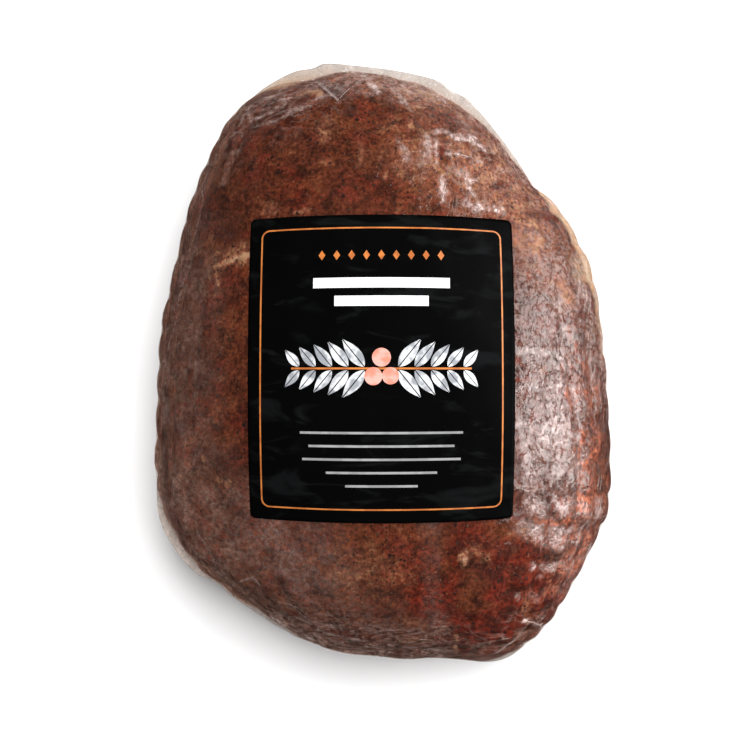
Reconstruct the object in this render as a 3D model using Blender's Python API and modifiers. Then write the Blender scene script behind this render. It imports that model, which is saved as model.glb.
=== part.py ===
"""A whole boneless smoked ham, shrink-sealed in a clear bag, with a label on its top face.

The ham lies on its flat underside. X is its width, Y its length with the narrow end at +Y, and Z is up.
The origin is at the middle of its bounding box, on the surface that it lies on.
"""

from math import acos, atan2, cos, degrees, hypot, pi, radians, sin, sqrt

import bmesh
import bpy
import numpy as np
from mathutils import Matrix, Vector

MM = 0.001

# The sealed bag's outline from above, in mm, from the narrow end and on clockwise.
BAG_OUTLINE = [
    (-29, 149.5), (-16, 148.5), (5, 146), (25, 141.5), (33.5, 136), (43, 130.5), (56.5, 115), (73, 92.5),
    (78.5, 84.5), (84, 81.5), (94, 67.5), (105.5, 38), (110.5, -5), (112.5, -51.5), (109.5, -79.5),
    (91, -116.5), (82, -130.5), (69.5, -142.5), (60, -148.5), (48, -150), (26, -148), (5, -148),
    (-35, -141.5), (-70, -121.5), (-85.5, -109.5), (-95, -105), (-107, -90), (-113.5, -71), (-113, -24.5),
    (-111.5, 15.5), (-104, 47), (-97, 78.5), (-79.5, 117.5), (-65, 133.5), (-47, 144.5), (-36, 147),
]
OUTLINE_STEPS = 8  # stretches of curve between two of those points

# Heights
BODY_HEIGHT = 132.0 * MM
WIDEST_AT = 56.0 * MM
SUNK_BELOW = 8.0 * MM
UPPER_ROUNDNESS = 2.4
LOWER_ROUNDNESS = 2.8
NARROW_END_TAPER = 0.10

# Towards its top the ham loses the corners of its outline and nears this oval
TOP_OVAL = (106.0 * MM, 141.0 * MM)
TOP_OVAL_SHARE = 0.8
TOP_OVAL_POWER = 3
SETTLING_STEPS = 8
FIRST_RISE = 0.5

# Broad lumps in the meat, as a share of its height
LUMP_SHARE = 0.018
LUMP_ACROSS = 118.0 * MM
LUMP_ALONG = 141.0 * MM
LUMP_PHASES = (0.8, 0.5)

# The print of the elastic net that the ham was smoked in
NET_CORDS = 32
NET_ROWS = 24
FACETS_ACROSS_CELL = 3
FACETS_ALONG_CELL = 2
CELL_SWELL = 1.6 * MM
TOP_SWELL_SHARE = 0.45
GATHERED_WITHIN = 34.0
FADES_BELOW = 14.0 * MM
SHARP_ANGLE = radians(50)

# The bag's free edge: how far the film stands out from the meat, and where
EDGE_THICKNESS = 0.8 * MM
EDGE_LEAST = 1.0 * MM
EDGE_FLAPS = [  # (direction and spread of a bell curve in degrees, extra width at its middle)
    (57.0, 5.0, 1.6 * MM),
    (71.0, 2.5, 1.0 * MM),
    (79.0, 8.5, 4.6 * MM),
    (104.0, 5.5, 5.3 * MM),
    (221.5, 6.0, 2.3 * MM),
    (242.5, 3.0, 1.0 * MM),
    (286.0, 8.0, 1.0 * MM),
]
EDGE_TAKES_EVERY = 2  # points of the outline curve
WELD_DISTANCE = 0.001 * MM

# The label, as seen from above
LABEL_WIDTH = 124.0 * MM
LABEL_LENGTH = 143.0 * MM
LABEL_CENTRE = (-0.8 * MM, -3.2 * MM)
LABEL_CORNER = 2.4 * MM
CORNER_SEGMENTS = 4
ROUND_PROFILE = 0.5
LABEL_THICKNESS = 0.4 * MM
LABEL_GAP = 0.4 * MM
LABEL_CELLS = (14, 16)
SMOOTH_MARGIN = 9.0 * MM

# Finishes, seen through the film: colour and roughness
HAM_FINISH = ((0.17, 0.052, 0.032), 0.3)
LABEL_FINISH = ((0.006, 0.006, 0.007), 0.35)


def clear_scene():
    for item in list(bpy.data.objects):
        bpy.data.objects.remove(item, do_unlink=True)


def make_collection(name):
    collection = bpy.data.collections.new(name)
    bpy.context.scene.collection.children.link(collection)
    return collection


def make_material(name, colour, roughness):
    material = bpy.data.materials.new(name)
    material.use_nodes = True
    shader = material.node_tree.nodes["Principled BSDF"]
    shader.inputs["Base Color"].default_value = (*colour, 1.0)
    shader.inputs["Roughness"].default_value = roughness
    shader.inputs["Metallic"].default_value = 0.0
    return material


def smooth_closed(points, steps):
    """A Catmull-Rom curve through the points, closed, as an array of points."""
    corners = np.array(points, float)
    before = np.roll(corners, 1, axis=0)
    after = np.roll(corners, -1, axis=0)
    beyond = np.roll(corners, -2, axis=0)
    curve = []
    for t in np.linspace(0.0, 1.0, steps, endpoint=False):
        curve.append(
            0.5
            * (
                2 * corners
                + (after - before) * t
                + (2 * before - 5 * corners + 4 * after - beyond) * t**2
                + (3 * corners - before - 3 * after + beyond) * t**3
            )
        )
    return np.stack(curve, axis=1).reshape(-1, 2)


def centred(curve):
    """The curve moved so that the middle of its box is at the origin."""
    return curve - (curve.min(axis=0) + curve.max(axis=0)) / 2


bag_curve = centred(smooth_closed(BAG_OUTLINE, OUTLINE_STEPS)) * MM
bag_angles = np.arctan2(bag_curve[:, 1], bag_curve[:, 0])
bag_radii = np.hypot(bag_curve[:, 0], bag_curve[:, 1])


def bag_reach(angle):
    """How far the bag's outline is from the origin in that direction."""
    return float(np.interp(angle, bag_angles, bag_radii, period=2 * pi))


def edge_width(angle):
    """How wide the bag's free edge is in that direction."""
    width = EDGE_LEAST
    for middle, spread, extra in EDGE_FLAPS:
        off = (np.degrees(angle) - middle + 180.0) % 360.0 - 180.0
        width += extra * np.exp(-((off / spread) ** 2) / 2)
    return float(width)


def meat_reach(angle):
    return bag_reach(angle) - edge_width(angle)


def reach_at(angle, rise):
    """How far the skin is from the middle, where rise is 0 at the widest height and 1 on top."""
    oval = 1.0 / hypot(cos(angle) / TOP_OVAL[0], sin(angle) / TOP_OVAL[1])
    return meat_reach(angle) + (oval - meat_reach(angle)) * TOP_OVAL_SHARE * rise**TOP_OVAL_POWER


def height_factor(x, y):
    """Broad lumps, and the fall towards the narrow end, as a factor on the height."""
    across = sin(2 * pi * x / LUMP_ACROSS + LUMP_PHASES[0])
    along = sin(2 * pi * y / LUMP_ALONG + LUMP_PHASES[1])
    fall = NARROW_END_TAPER * y / float(bag_curve[:, 1].max())
    return 1.0 + LUMP_SHARE * across * along - fall


def skin_height(x, y):
    """The height of the upper skin above a point of the plan, found by settling on the right rise."""
    angle = atan2(y, x)
    rise = FIRST_RISE
    for _ in range(SETTLING_STEPS):
        share = min(hypot(x, y) / reach_at(angle, rise), 1.0)
        rise = (1.0 - share**UPPER_ROUNDNESS) ** (1.0 / UPPER_ROUNDNESS)
    return WIDEST_AT + (BODY_HEIGHT - WIDEST_AT) * rise * height_factor(x, y)


def skin_point(direction):
    """The point of the skin that a direction of the unit sphere stands for."""
    upper = direction.z >= 0
    roundness = UPPER_ROUNDNESS if upper else LOWER_ROUNDNESS
    share = sqrt(max(0.0, 1.0 - direction.z**2)) ** (2.0 / roundness)
    rise = abs(direction.z) ** (2.0 / roundness)
    angle = atan2(direction.y, direction.x)
    reach = reach_at(angle, rise) * share
    x = reach * cos(angle)
    y = reach * sin(angle)
    if upper:
        height = WIDEST_AT + (BODY_HEIGHT - WIDEST_AT) * rise * height_factor(x, y)
    else:
        height = WIDEST_AT - (WIDEST_AT + SUNK_BELOW) * rise
    return Vector((x, y, height))


def off_label(point):
    """0 under the label and 1 well clear of it, for the top of the ham."""
    beyond_x = abs(point.x - LABEL_CENTRE[0]) - LABEL_WIDTH / 2
    beyond_y = abs(point.y - LABEL_CENTRE[1]) - LABEL_LENGTH / 2
    beyond = max(beyond_x, beyond_y) / SMOOTH_MARGIN - 1.0
    if point.z < WIDEST_AT:
        return 1.0
    return min(max(beyond, 0.0), 1.0)


def cell_swell(direction, point):
    """How far the meat swells out between the cords of the net, which close up towards the ends."""
    cord = (atan2(direction.z, direction.x) / (2 * pi)) * NET_CORDS
    from_end = acos(max(-1.0, min(1.0, abs(direction.y))))
    row = acos(max(-1.0, min(1.0, direction.y))) / pi * NET_ROWS
    bulge = abs(sin(pi * cord)) * abs(sin(pi * row))
    sideness = 1.0 - (1.0 - TOP_SWELL_SHARE) * max(direction.z, 0.0)
    openness = min(1.0, degrees(from_end) / GATHERED_WITHIN) ** 2
    clear_of_floor = min(1.0, max(0.0, point.z / FADES_BELOW))
    return CELL_SWELL * bulge * sideness * openness * clear_of_floor * off_label(point)


def make_sealed_ham(collection):
    """The ham with its tight bag: a sphere with its poles at the ham's ends, given the skin's form."""
    body = bmesh.new()
    along_length = Matrix.Rotation(-pi / 2, 4, "X")
    bmesh.ops.create_uvsphere(
        body,
        u_segments=FACETS_ACROSS_CELL * NET_CORDS,
        v_segments=FACETS_ALONG_CELL * NET_ROWS,
        radius=1.0,
        matrix=along_length,
    )
    middle = Vector((0.0, 0.0, WIDEST_AT))
    for vertex in body.verts:
        direction = vertex.co.normalized()
        point = skin_point(direction)
        outward = (point - middle).normalized()
        vertex.co = point + outward * cell_swell(direction, point)
    everything = body.verts[:] + body.edges[:] + body.faces[:]
    cut = bmesh.ops.bisect_plane(
        body, geom=everything, plane_co=(0, 0, 0), plane_no=(0, 0, -1), clear_outer=True
    )
    rim = [item for item in cut["geom_cut"] if isinstance(item, bmesh.types.BMEdge)]
    bmesh.ops.contextual_create(body, geom=rim)
    bmesh.ops.recalc_face_normals(body, faces=body.faces[:])
    mesh = bpy.data.meshes.new("sealed_ham")
    body.to_mesh(mesh)
    body.free()
    ham = bpy.data.objects.new("sealed_ham", mesh)
    collection.objects.link(ham)
    mesh.shade_smooth()
    mesh.set_sharp_from_angle(angle=SHARP_ANGLE)
    return ham


def make_bag_edge(collection):
    """The flat free edge of the bag, all the way round at the ham's widest height."""
    curve = bpy.data.curves.new("bag_edge", "CURVE")
    curve.dimensions = "2D"
    curve.fill_mode = "BOTH"
    curve.extrude = EDGE_THICKNESS / 2
    spline = curve.splines.new("POLY")
    outline = bag_curve[::EDGE_TAKES_EVERY]
    spline.points.add(len(outline) - 1)
    for point, (x, y) in zip(spline.points, outline):
        point.co = (x, y, 0.0, 1.0)
    spline.use_cyclic_u = True
    flat = bpy.data.objects.new("bag_edge_curve", curve)
    flat.location.z = WIDEST_AT
    collection.objects.link(flat)
    bpy.context.view_layer.update()
    graph = bpy.context.evaluated_depsgraph_get()
    mesh = bpy.data.meshes.new_from_object(flat.evaluated_get(graph))
    plate = bmesh.new()
    plate.from_mesh(mesh)
    bmesh.ops.remove_doubles(plate, verts=plate.verts[:], dist=WELD_DISTANCE)
    bmesh.ops.recalc_face_normals(plate, faces=plate.faces[:])
    plate.to_mesh(mesh)
    plate.free()
    edge = bpy.data.objects.new("bag_edge", mesh)
    edge.matrix_world = flat.matrix_world
    collection.objects.link(edge)
    bpy.data.objects.remove(flat, do_unlink=True)
    edge.hide_render = True
    edge.display_type = "WIRE"
    return edge


def join_edge(ham, edge):
    union = ham.modifiers.new("bag_edge", "BOOLEAN")
    union.operation = "UNION"
    union.object = edge
    union.solver = "EXACT"


def make_label(collection):
    """The label: a thin sheet with round corners that follows the ham's top."""
    sheet = bmesh.new()
    half_width, half_length = LABEL_WIDTH / 2, LABEL_LENGTH / 2
    bmesh.ops.create_grid(sheet, x_segments=1, y_segments=1, size=1.0)
    bmesh.ops.scale(sheet, vec=(half_width, half_length, 1.0), verts=sheet.verts[:])
    bmesh.ops.bevel(
        sheet,
        geom=sheet.verts[:],
        offset=LABEL_CORNER,
        segments=CORNER_SEGMENTS,
        profile=ROUND_PROFILE,
        affect="VERTICES",
    )
    for axis, cells, half in ((0, LABEL_CELLS[0], half_width), (1, LABEL_CELLS[1], half_length)):
        normal = Vector((0, 0, 0))
        normal[axis] = 1.0
        for number in range(1, cells):
            place = normal * (-half + 2 * half * number / cells)
            everything = sheet.verts[:] + sheet.edges[:] + sheet.faces[:]
            bmesh.ops.bisect_plane(sheet, geom=everything, plane_co=place, plane_no=normal)
    for vertex in sheet.verts:
        vertex.co.x += LABEL_CENTRE[0]
        vertex.co.y += LABEL_CENTRE[1]
        vertex.co.z = skin_height(vertex.co.x, vertex.co.y) + LABEL_GAP
    bmesh.ops.triangulate(sheet, faces=sheet.faces[:])
    bmesh.ops.recalc_face_normals(sheet, faces=sheet.faces[:])
    mesh = bpy.data.meshes.new("label")
    sheet.to_mesh(mesh)
    sheet.free()
    label = bpy.data.objects.new("label", mesh)
    collection.objects.link(label)
    mesh.shade_smooth()
    skin = label.modifiers.new("thickness", "SOLIDIFY")
    skin.thickness = LABEL_THICKNESS
    skin.offset = 1.0
    return label


def main():
    clear_scene()
    parts = make_collection("smoked_ham_in_bag")
    guides = make_collection("guides")
    ham = make_sealed_ham(parts)
    join_edge(ham, make_bag_edge(guides))
    ham.data.materials.append(make_material("smoked_ham_in_clear_film", *HAM_FINISH))
    label = make_label(parts)
    label.data.materials.append(make_material("black_label", *LABEL_FINISH))


main()
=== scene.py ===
"""A whole smoked ham, shrink-sealed in a clear bag, with a black label: its meat, spice, film and print.

The ham lies on its flat underside. X is its width, Y its length with the narrow end at +Y, and Z is up.
Lengths are in metres.
"""

from math import pi, radians

import bmesh
import bpy
import numpy as np
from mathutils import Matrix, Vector
from mathutils.bvhtree import BVHTree


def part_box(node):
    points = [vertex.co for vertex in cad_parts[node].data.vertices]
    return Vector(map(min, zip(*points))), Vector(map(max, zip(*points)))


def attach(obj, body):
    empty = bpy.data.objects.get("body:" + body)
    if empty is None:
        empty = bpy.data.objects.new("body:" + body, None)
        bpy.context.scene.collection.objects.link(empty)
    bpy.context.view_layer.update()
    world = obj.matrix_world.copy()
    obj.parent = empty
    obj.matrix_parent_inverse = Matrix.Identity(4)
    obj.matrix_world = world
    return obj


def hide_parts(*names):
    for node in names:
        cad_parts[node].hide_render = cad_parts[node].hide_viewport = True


MM = 0.001
SEED = 11

# The photograph's framing
VIEW_MIDDLE = (-3.8 * MM, -6.25 * MM)
CAMERA_HEIGHT = 1.1
FRAME_AT_WIDEST = 0.375  # what the frame's width shows at the ham's widest height
SENSOR = 36.0
VIEW_PARTS = 750  # a place of the view is counted in this many parts of the frame, from its top left

# The meat's grid, whose poles are the ham's two ends
COLUMNS_ABOVE = 288
COLUMNS_BELOW = 80
ROWS = 270
EVEN_REACH = np.array((110.0, 147.0, 70.0)) * MM  # half sizes of the ball that the grid's rays are even on
HALF_LENGTH = 150.0 * MM
END_ROWS = 3  # rows beside each pole that are given one reach
WIDEST = 56.0 * MM  # the height of the ham's widest line, where the bag's free edge lies
EDGE_BAND = 1.2 * MM  # the solid's rim lies within this of its widest height
BASE_PASSES = 44  # passes that even out the solid's facets
LEAST_SLANT = 0.35  # the least cosine between a ray and the surface's normal that relief is worked out with
POLE_OUT = 0.02 * MM  # how far each pole stands past its ring

# Where the relief of each part of the ham begins and where it is full
RIGHT_SIDE = (48 * MM, 74 * MM)  # along X
LEFT_SIDE = (-60 * MM, -100 * MM)
FRONT_END = (-70 * MM, -120 * MM)  # along Y
BEHIND_FRONT = (-90 * MM, -20 * MM)
LOW_LEFT = (86 * MM, 66 * MM)  # in height
LOWER_HALF = (60 * MM, 40 * MM)
OFF_FLOOR = (2 * MM, 16 * MM)

# The print of the elastic net
NET_CORDS = 32
NET_ROWS = 26
NET_START = 0.085  # of a row
NET_LEAN = 0.185  # rows from the middle to the right side
NET_WANDER = 0.10  # of a cell
CELL_ACROSS = 17.0 * MM
CELL_SWELL = 1.5 * MM
SWELL_MIDDLE = 0.45  # the share of the swell that lies inside the solid
GROOVE_DEPTH = 0.6 * MM
GROOVE_HALF_WIDTH = 1.9 * MM
TOP_HEIGHT = 132.0 * MM  # the cords are counted from the widest height to this one
SUNK_BELOW = 8.0 * MM  # and down to this far below the floor
UPPER_SPREAD = 1.2
LOWER_SPREAD = 1.4
CORDS_BEGIN = (0.25, 0.6)  # at these shares of the ham's full girth the cords begin and are full
ROWS_BEGIN = (0.12, 0.4)
RELIEF_BEGINS = (0.0, 0.3)
SWELL_ROUNDNESS = 0.7  # a power: lower is flatter on top
LEAST_PRINT = 0.25  # how strong the print is where no side adds to it, of 1 at its strongest
CALMED_PRINT = 0.35  # how much of it the right side loses behind the front
LEFT_PRINT = (0.35, 0.3, 0.45)  # everywhere on the left, what is added behind the front, and low down
UNDER_PRINT = 0.8
FRONT_PRINT = 0.3

# The meat's own lumps: their height, size, what their seed adds and how they are squeezed
LUMPS = (
    (0.55 * MM, 22 * MM, 2, (1, 1, 1)),
    (0.32 * MM, 10 * MM, 3, (1, 1, 1)),
    (0.16 * MM, 4.6 * MM, 4, (1, 0.6, 1)),
)

# Where the ham is drawn in above and below the bag's free edge: the heading, how wide a turn, and how far
HELD_IN = ((50, 22, 0.7 * MM), (90, 17, 0.9 * MM), (219, 11, 2.6 * MM), (242, 16, 1.2 * MM))
HELD_HEIGHTS = (44 * MM, 14 * MM)  # from the widest height: where this ends and within which it is full

# The sides that turn away from the light: the heading, how wide a turn and the share, then the heights
# where this begins and where it is full. The meat there is painted lighter with the wet colour, a painted
# fill light, and the film there loses shine, a painted shade on its reflection
SHADED_MEAT = ((180, 65, 1.0), (-115, 45, 0.8))
SHADED_MEAT_HEIGHTS = (88 * MM, 58 * MM)
SHADED_FILM = ((180, 60, 1.0), (-120, 45, 1.0))
SHADED_FILM_HEIGHTS = (100 * MM, 70 * MM)

# Broad patches of the meat's finishes, in mm of the plan: middle, half sizes, then turn in degrees and share
RED_PLACES = (
    ((62, -113), (54, 32), 0, 1.6),
    ((50, 104), (26, 22), 0, 0.5),
    ((-36, -100), (9, 9), 0, 0.9),
    ((-84, -90), (22, 20), 0, 0.5),
    ((-74, -23), (20, 7), 0, 0.7),
    ((5, 112), (11, 13), 0, 0.6),
    ((-42, 78), (12, 9), 0, 0.6),
    ((30, -88), (14, 8), 0, 0.6),
)
TAN_PLACES = (
    ((-53, 73), (5, 3), 0, 0.5),
    ((-27, 112), (7, 6), 20, 0.4),
    ((14, 104), (24, 17), 0, 0.35),
    ((38, 88), (24, 22), -30, 0.45),
    ((62, 84), (14, 30), 34, 0.6),
    ((72, 52), (10, 22), 20, 0.6),
    ((30, 128), (30, 10), -12, 0.6),
    ((14, 138), (40, 8), -8, 0.9),
    ((-8, -98), (24, 13), 0, 0.45),
)
FAT_PLACES = (
    ((99, 58), (33, 10), -58, 1.0),
    ((84, 79), (8, 8), 0, 0.9),
    ((-47, 141), (20, 5), 18, 0.75),
    ((108, 22), (5, 32), 9, 0.6),
)
FAT_HEIGHT = 64 * MM  # the fat lies in a band round this height, and fades over the reach
FAT_REACH = 29 * MM
FAT_WANDER = 10 * MM
# Wet meat: where the right flank and its grooves begin and are full along X, and their two ends along Y, then
# two patches
WET_FLANK = (82 * MM, 99 * MM)
WET_GROOVES = (84 * MM, 98 * MM)
WET_LENGTH = ((26 * MM, -6 * MM), (-118 * MM, -88 * MM))
WET_CORNER = ((90, -90), (14, 32), -25)
WET_TOP = ((14, 136), (44, 9), -8)
# The middles and the half sizes of spots with more spice, in mm of the plan
SPICE_HALF = (8.5, 9.5)
SPICE_PLACES = (
    (-73, 61),
    (-89, 43),
    (-85, 26),
    (-88, 9),
    (-85, -7),
    (-97, -26),
    (-80, -42),
    (-70, -58),
)

# Colours of the meat and its spice
MEAT_COLOURS = {
    "crust": (0.064, 0.0165, 0.0085),
    "brown crust": (0.092, 0.024, 0.010),
    "red crust": (0.094, 0.018, 0.010),
    "dark crust": (0.028, 0.0085, 0.0048),
    "light crust": (0.130, 0.045, 0.021),
    "spiced": (0.030, 0.010, 0.008),
    "red": (0.108, 0.014, 0.007),
    "deep red": (0.036, 0.008, 0.005),
    # The wet colour is also painted on the sides turned from the light as painted fill light
    "wet": (0.32, 0.096, 0.048),
    "deep wet": (0.15, 0.034, 0.018),
    "tan": (0.20, 0.078, 0.043),
    "pale tan": (0.30, 0.170, 0.100),
    "dark": (0.030, 0.009, 0.007),
    "browned": (0.090, 0.027, 0.018),
    "yellowed": (0.30, 0.17, 0.085),
    "fat": (0.44, 0.26, 0.14),
    "white fat": (0.39, 0.29, 0.20),
    "pepper": (0.020, 0.009, 0.007),
    "peppercorn": (0.012, 0.007, 0.007),
    "fleck": (0.26, 0.11, 0.06),
}
SPICE_COLOURS = ((0.018, 0.011, 0.009), (0.060, 0.030, 0.018))
GRAINS_PER_AREA = 62000.0  # in a square metre, where they lie thickest
GRAIN_SIZES = (0.5 * MM, 1.35 * MM)
GRAIN_THICKNESS = 0.35  # of a grain's size
GRAIN_HEIGHTS = (8 * MM, 40 * MM)  # where on the ham the grains begin and where all of them are

MARK_WANDER = 0.8  # how far a mark's border wanders, of half its width
MARK_WAVE = 4 * MM
MARK_EDGE = 2.5  # a power: higher ends a mark more sharply
SIGHT_DEPTH = 6.0 * MM  # marks reach this far below the widest height
# Drawn marks of the meat, at places of the view: the line, half its width in mm and its share, which is cut
# to 1 where it comes out higher
MEAT_MARKS = {
    "tan": (
        (((250, 255), (240, 257), (231, 260), (224, 264)), 1.7, 1.2),
        (((252, 256), (236, 255), (220, 260)), 5.2, 0.5),
        (((226, 254), (214, 262), (215, 272)), 3.2, 0.55),
        (((224, 261), (218, 265), (214, 270)), 2.0, 1.5),
        (((222, 252), (228, 251)), 1.6, 0.6),
        (((215, 269), (217, 276), (218, 285)), 0.8, 1.5),
        (((216, 293), (215, 295)), 1.4, 0.5),
        (((321, 130), (325, 137)), 2.8, 0.5),
        (((323, 158), (328, 163)), 2.6, 0.35),
        (((296, 128), (296, 141)), 1.2, 0.45),
        (((361, 146), (360, 165)), 1.6, 0.5),
        (((379, 161), (383, 153)), 0.7, 0.9),
        (((389, 167), (399, 163), (400, 171)), 2.0, 0.6),
        (((384, 177), (388, 172)), 1.0, 0.9),
        (((407, 128), (411, 122)), 2.4, 0.6),
        (((414, 105), (422, 106)), 3.0, 0.75),
        (((489, 131), (490, 136)), 1.2, 1.0),
        (((457, 172), (461, 171)), 1.2, 0.8),
        (((264, 212), (275, 211)), 1.0, 0.7),
        (((296, 212), (308, 211)), 1.0, 0.6),
        (((527, 222), (536, 232), (541, 244)), 3.2, 0.7),
        (((530, 251), (535, 253)), 1.8, 1.0),
        (((536, 262), (552, 282)), 2.2, 0.6),
        (((562, 287), (570, 311)), 3.0, 0.6),
        (((204, 456), (205, 463)), 0.7, 0.8),
        (((212, 478), (240, 486)), 3.5, 0.35),
        (((463, 556), (464, 565)), 2.2, 0.9),
        (((476, 552), (488, 560)), 3.0, 0.45),
        (((456, 636), (456, 655)), 1.0, 0.8),
        (((527, 601), (526, 616)), 1.4, 0.6),
        (((514, 532), (534, 540)), 3.2, 0.45),
        (((300, 94), (308, 92), (316, 91), (322, 94)), 1.6, 1.0),
    ),
    "dark": (
        (((286, 128), (322, 134), (352, 142)), 13, 0.24),
        (((329, 127), (343, 141)), 2.6, 0.7),
        (((314, 146), (336, 148)), 1.6, 0.7),
        (((368, 160), (377, 166)), 1.4, 0.8),
        (((240, 163), (252, 169)), 2.4, 0.6),
        (((467, 113), (470, 115)), 0.9, 0.9),
        (((449, 168), (449, 172)), 0.7, 0.9),
        (((514, 172), (516, 175)), 0.8, 0.8),
        (((426, 104), (431, 106)), 1.2, 0.8),
        (((265, 110), (272, 104)), 1.6, 0.8),
        (((283, 95), (286, 94)), 0.9, 0.7),
        (((305, 87), (315, 84)), 1.0, 0.8),
        (((320, 89), (326, 92)), 1.0, 0.8),
        (((341, 99), (351, 91)), 0.5, 0.8),
        (((320, 557), (341, 555), (355, 551), (370, 549), (390, 547)), 0.8, 0.8),
        (((334, 583), (349, 586), (363, 582), (380, 582)), 0.8, 0.8),
        (((537, 310), (537, 314)), 0.7, 0.9),
        (((537, 342), (537, 349)), 0.6, 0.9),
        (((542, 395), (545, 401)), 1.5, 0.8),
        (((518, 399), (518, 405)), 0.8, 0.7),
        (((551, 404), (548, 414)), 0.7, 0.7),
        (((525, 354), (524, 373)), 0.6, 0.7),
        (((518, 443), (518, 477)), 1.1, 0.9),
        (((550, 463), (550, 471)), 0.8, 0.9),
        (((542, 475), (545, 483)), 1.4, 1.0),
        (((552, 486), (557, 489), (561, 487), (566, 476), (569, 466)), 0.8, 0.9),
        # A painted shadow beside a swollen cell
        (((569, 488), (576, 490)), 1.0, 0.8),
        (((519, 498), (518, 510), (525, 515)), 1.6, 0.9),
        (((549, 500), (548, 512), (555, 515)), 1.5, 1.0),
        (((530, 546), (550, 553), (566, 550)), 1.6, 0.7),
        (((446, 596), (490, 604)), 12, 0.2),
        (((481, 568), (496, 575)), 3.2, 0.8),
        (((474, 598), (482, 606)), 2.2, 0.6),
        (((204, 451), (222, 447), (232, 454)), 3.2, 0.6),
        (((226, 478), (236, 484), (244, 481)), 1.2, 0.8),
        (((210, 482), (222, 490)), 1.0, 0.6),
        (((172, 530), (178, 542), (186, 554)), 1.0, 0.9),
        (((300, 622), (330, 634), (360, 641)), 0.7, 0.7),
        (((345, 628), (380, 636), (410, 640)), 0.6, 0.7),
        (((400, 648), (440, 650)), 0.7, 0.6),
        (((410, 636), (440, 640), (455, 642)), 1.2, 0.5),
    ),
    "red": (
        (((286, 174), (306, 176)), 2.4, 0.9),
        (((360, 101), (380, 114)), 3.2, 0.8),
        (((389, 131), (397, 141)), 2.2, 0.9),
        (((496, 197), (498, 201)), 1.5, 0.8),
        (((388, 134), (390, 138)), 1.8, 0.8),
        (((582, 304), (585, 315)), 1.6, 1.0),
        (((196, 424), (222, 428)), 3.4, 0.6),
        (((181, 510), (186, 530), (194, 556)), 5.0, 0.5),
        (((219, 550), (223, 555)), 1.8, 0.8),
        (((254, 563), (256, 569)), 2.2, 0.8),
        (((277, 578), (290, 586), (298, 594)), 3.6, 0.9),
        (((454, 545), (456, 575), (455, 612)), 2.8, 1.2),
        (((515, 568), (519, 580)), 2.6, 1.0),
        (((478, 638), (492, 648)), 3.2, 1.0),
        (((530, 575), (550, 582), (563, 578)), 3.2, 0.9),
        (((500, 545), (520, 552)), 3.0, 0.8),
    ),
    "wet": (
        (((592, 424), (599, 434), (600, 444), (595, 455), (588, 462)), 1.3, 1.2),
        (((584, 425), (582, 440), (580, 455)), 0.9, 1.0),
        (((576, 342), (577, 350)), 1.4, 0.8),
        (((569, 328), (572, 343)), 0.7, 0.8),
        (((581, 363), (585, 370)), 1.6, 0.9),
        (((568, 359), (572, 366), (573, 376)), 0.6, 0.9),
        (((563, 363), (561, 377)), 0.6, 0.9),
        (((569, 390), (572, 409)), 1.4, 0.9),
        (((588, 392), (590, 411)), 1.3, 0.9),
        (((583, 464), (592, 470), (590, 488)), 2.6, 0.8),
        (((538, 521), (556, 524), (572, 521)), 1.1, 1.2),
        (((548, 525), (548, 539)), 0.6, 0.8),
        (((577, 524), (574, 546), (568, 560)), 1.4, 0.9),
        (((586, 534), (589, 539)), 1.6, 1.2),
        (((556, 548), (571, 547)), 1.4, 0.8),
        (((556, 277), (559, 279)), 1.4, 0.8),
        (((516, 232), (517, 241)), 1.5, 0.6),
        (((528, 273), (532, 277)), 1.4, 0.7),
        (((331, 81), (345, 74), (358, 72)), 1.6, 0.6),
        (((363, 88), (365, 91)), 1.2, 0.8),
        (((281, 626), (287, 630)), 1.2, 0.8),
        (((262, 212), (270, 213)), 0.8, 0.5),
        (((409, 141), (411, 145)), 1.4, 0.6),
        (((525, 603), (528, 615)), 1.1, 0.6),
    ),
}

# The film
FILM_GAP = 0.28 * MM
BRIDGE_PASSES = 8
BRIDGE_GAP = 0.12 * MM
MEAT_FLOOR = 0.5 * MM
FILM_WALL = 0.15 * MM
SLACK_HEIGHT = 0.35  # mm, where it is slackest
SLACK_LEAST = 0.3  # how slack it is elsewhere
CREASE_SIZE = 6.5 * MM

# The looks of each film: its most milk, the milk's colour, the most shine, the milk that creases add, how
# uneven the milk is, and the milk's colour where it is warm
FILM_LOOKS = {
    "clear_film": (0.8, (0.68, 0.53, 0.50), 0.165, 0.22, 0.60, (0.55, 0.30, 0.21)),
    # folded_film's milk colour is painted light: it shows only at the free edge's shaded lower left
    "folded_film": (1.0, (0.66, 0.58, 0.53), 0.12, 0.0, 0.34, (0.31, 0.205, 0.135)),
    "creased_film": (0.8, (0.60, 0.45, 0.41), 0.10, 0.0, 0.4, (0.55, 0.30, 0.21)),
    "ear_film": (0.5, (0.50, 0.41, 0.40), 0.12, 0.0, 0.4, (0.55, 0.30, 0.21)),
}
# The free edge's milk, except at its lower left, where the lighter folded_film milk is painted light on its
# shaded side
DIM_MILK = (0.37, 0.33, 0.30)
GLOSS_COLOUR = (1.0, 0.95, 0.93)
CLEAR_COLOUR = (0.98, 0.965, 0.95)

# The bag's free edge
EDGE_TURNS = 900  # points all the way round it
EDGE_STEPS = 7  # points across it
EDGE_SPAN = 12  # the film's reach is evened over this many points on each side
EDGE_INSET = 1.2 * MM  # how far inside the film it starts
EDGE_LEAST = 1.5 * MM
EDGE_TIGHT = 0.3 * MM  # how far it stands out where it is narrow
EDGE_TRIM = 0.12 * MM
# How far the solid's rim stands past the film where the edge begins to follow it, and where it follows fully
EDGE_LOOSE = (0.8 * MM, 2.2 * MM)
EDGE_WAVE = 0.32  # of its width
EDGE_FATTY = ((28, 24, 1.0), (112, 11, 1.0), (214, 16, 0.4))  # the heading, how wide a turn and the share

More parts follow.
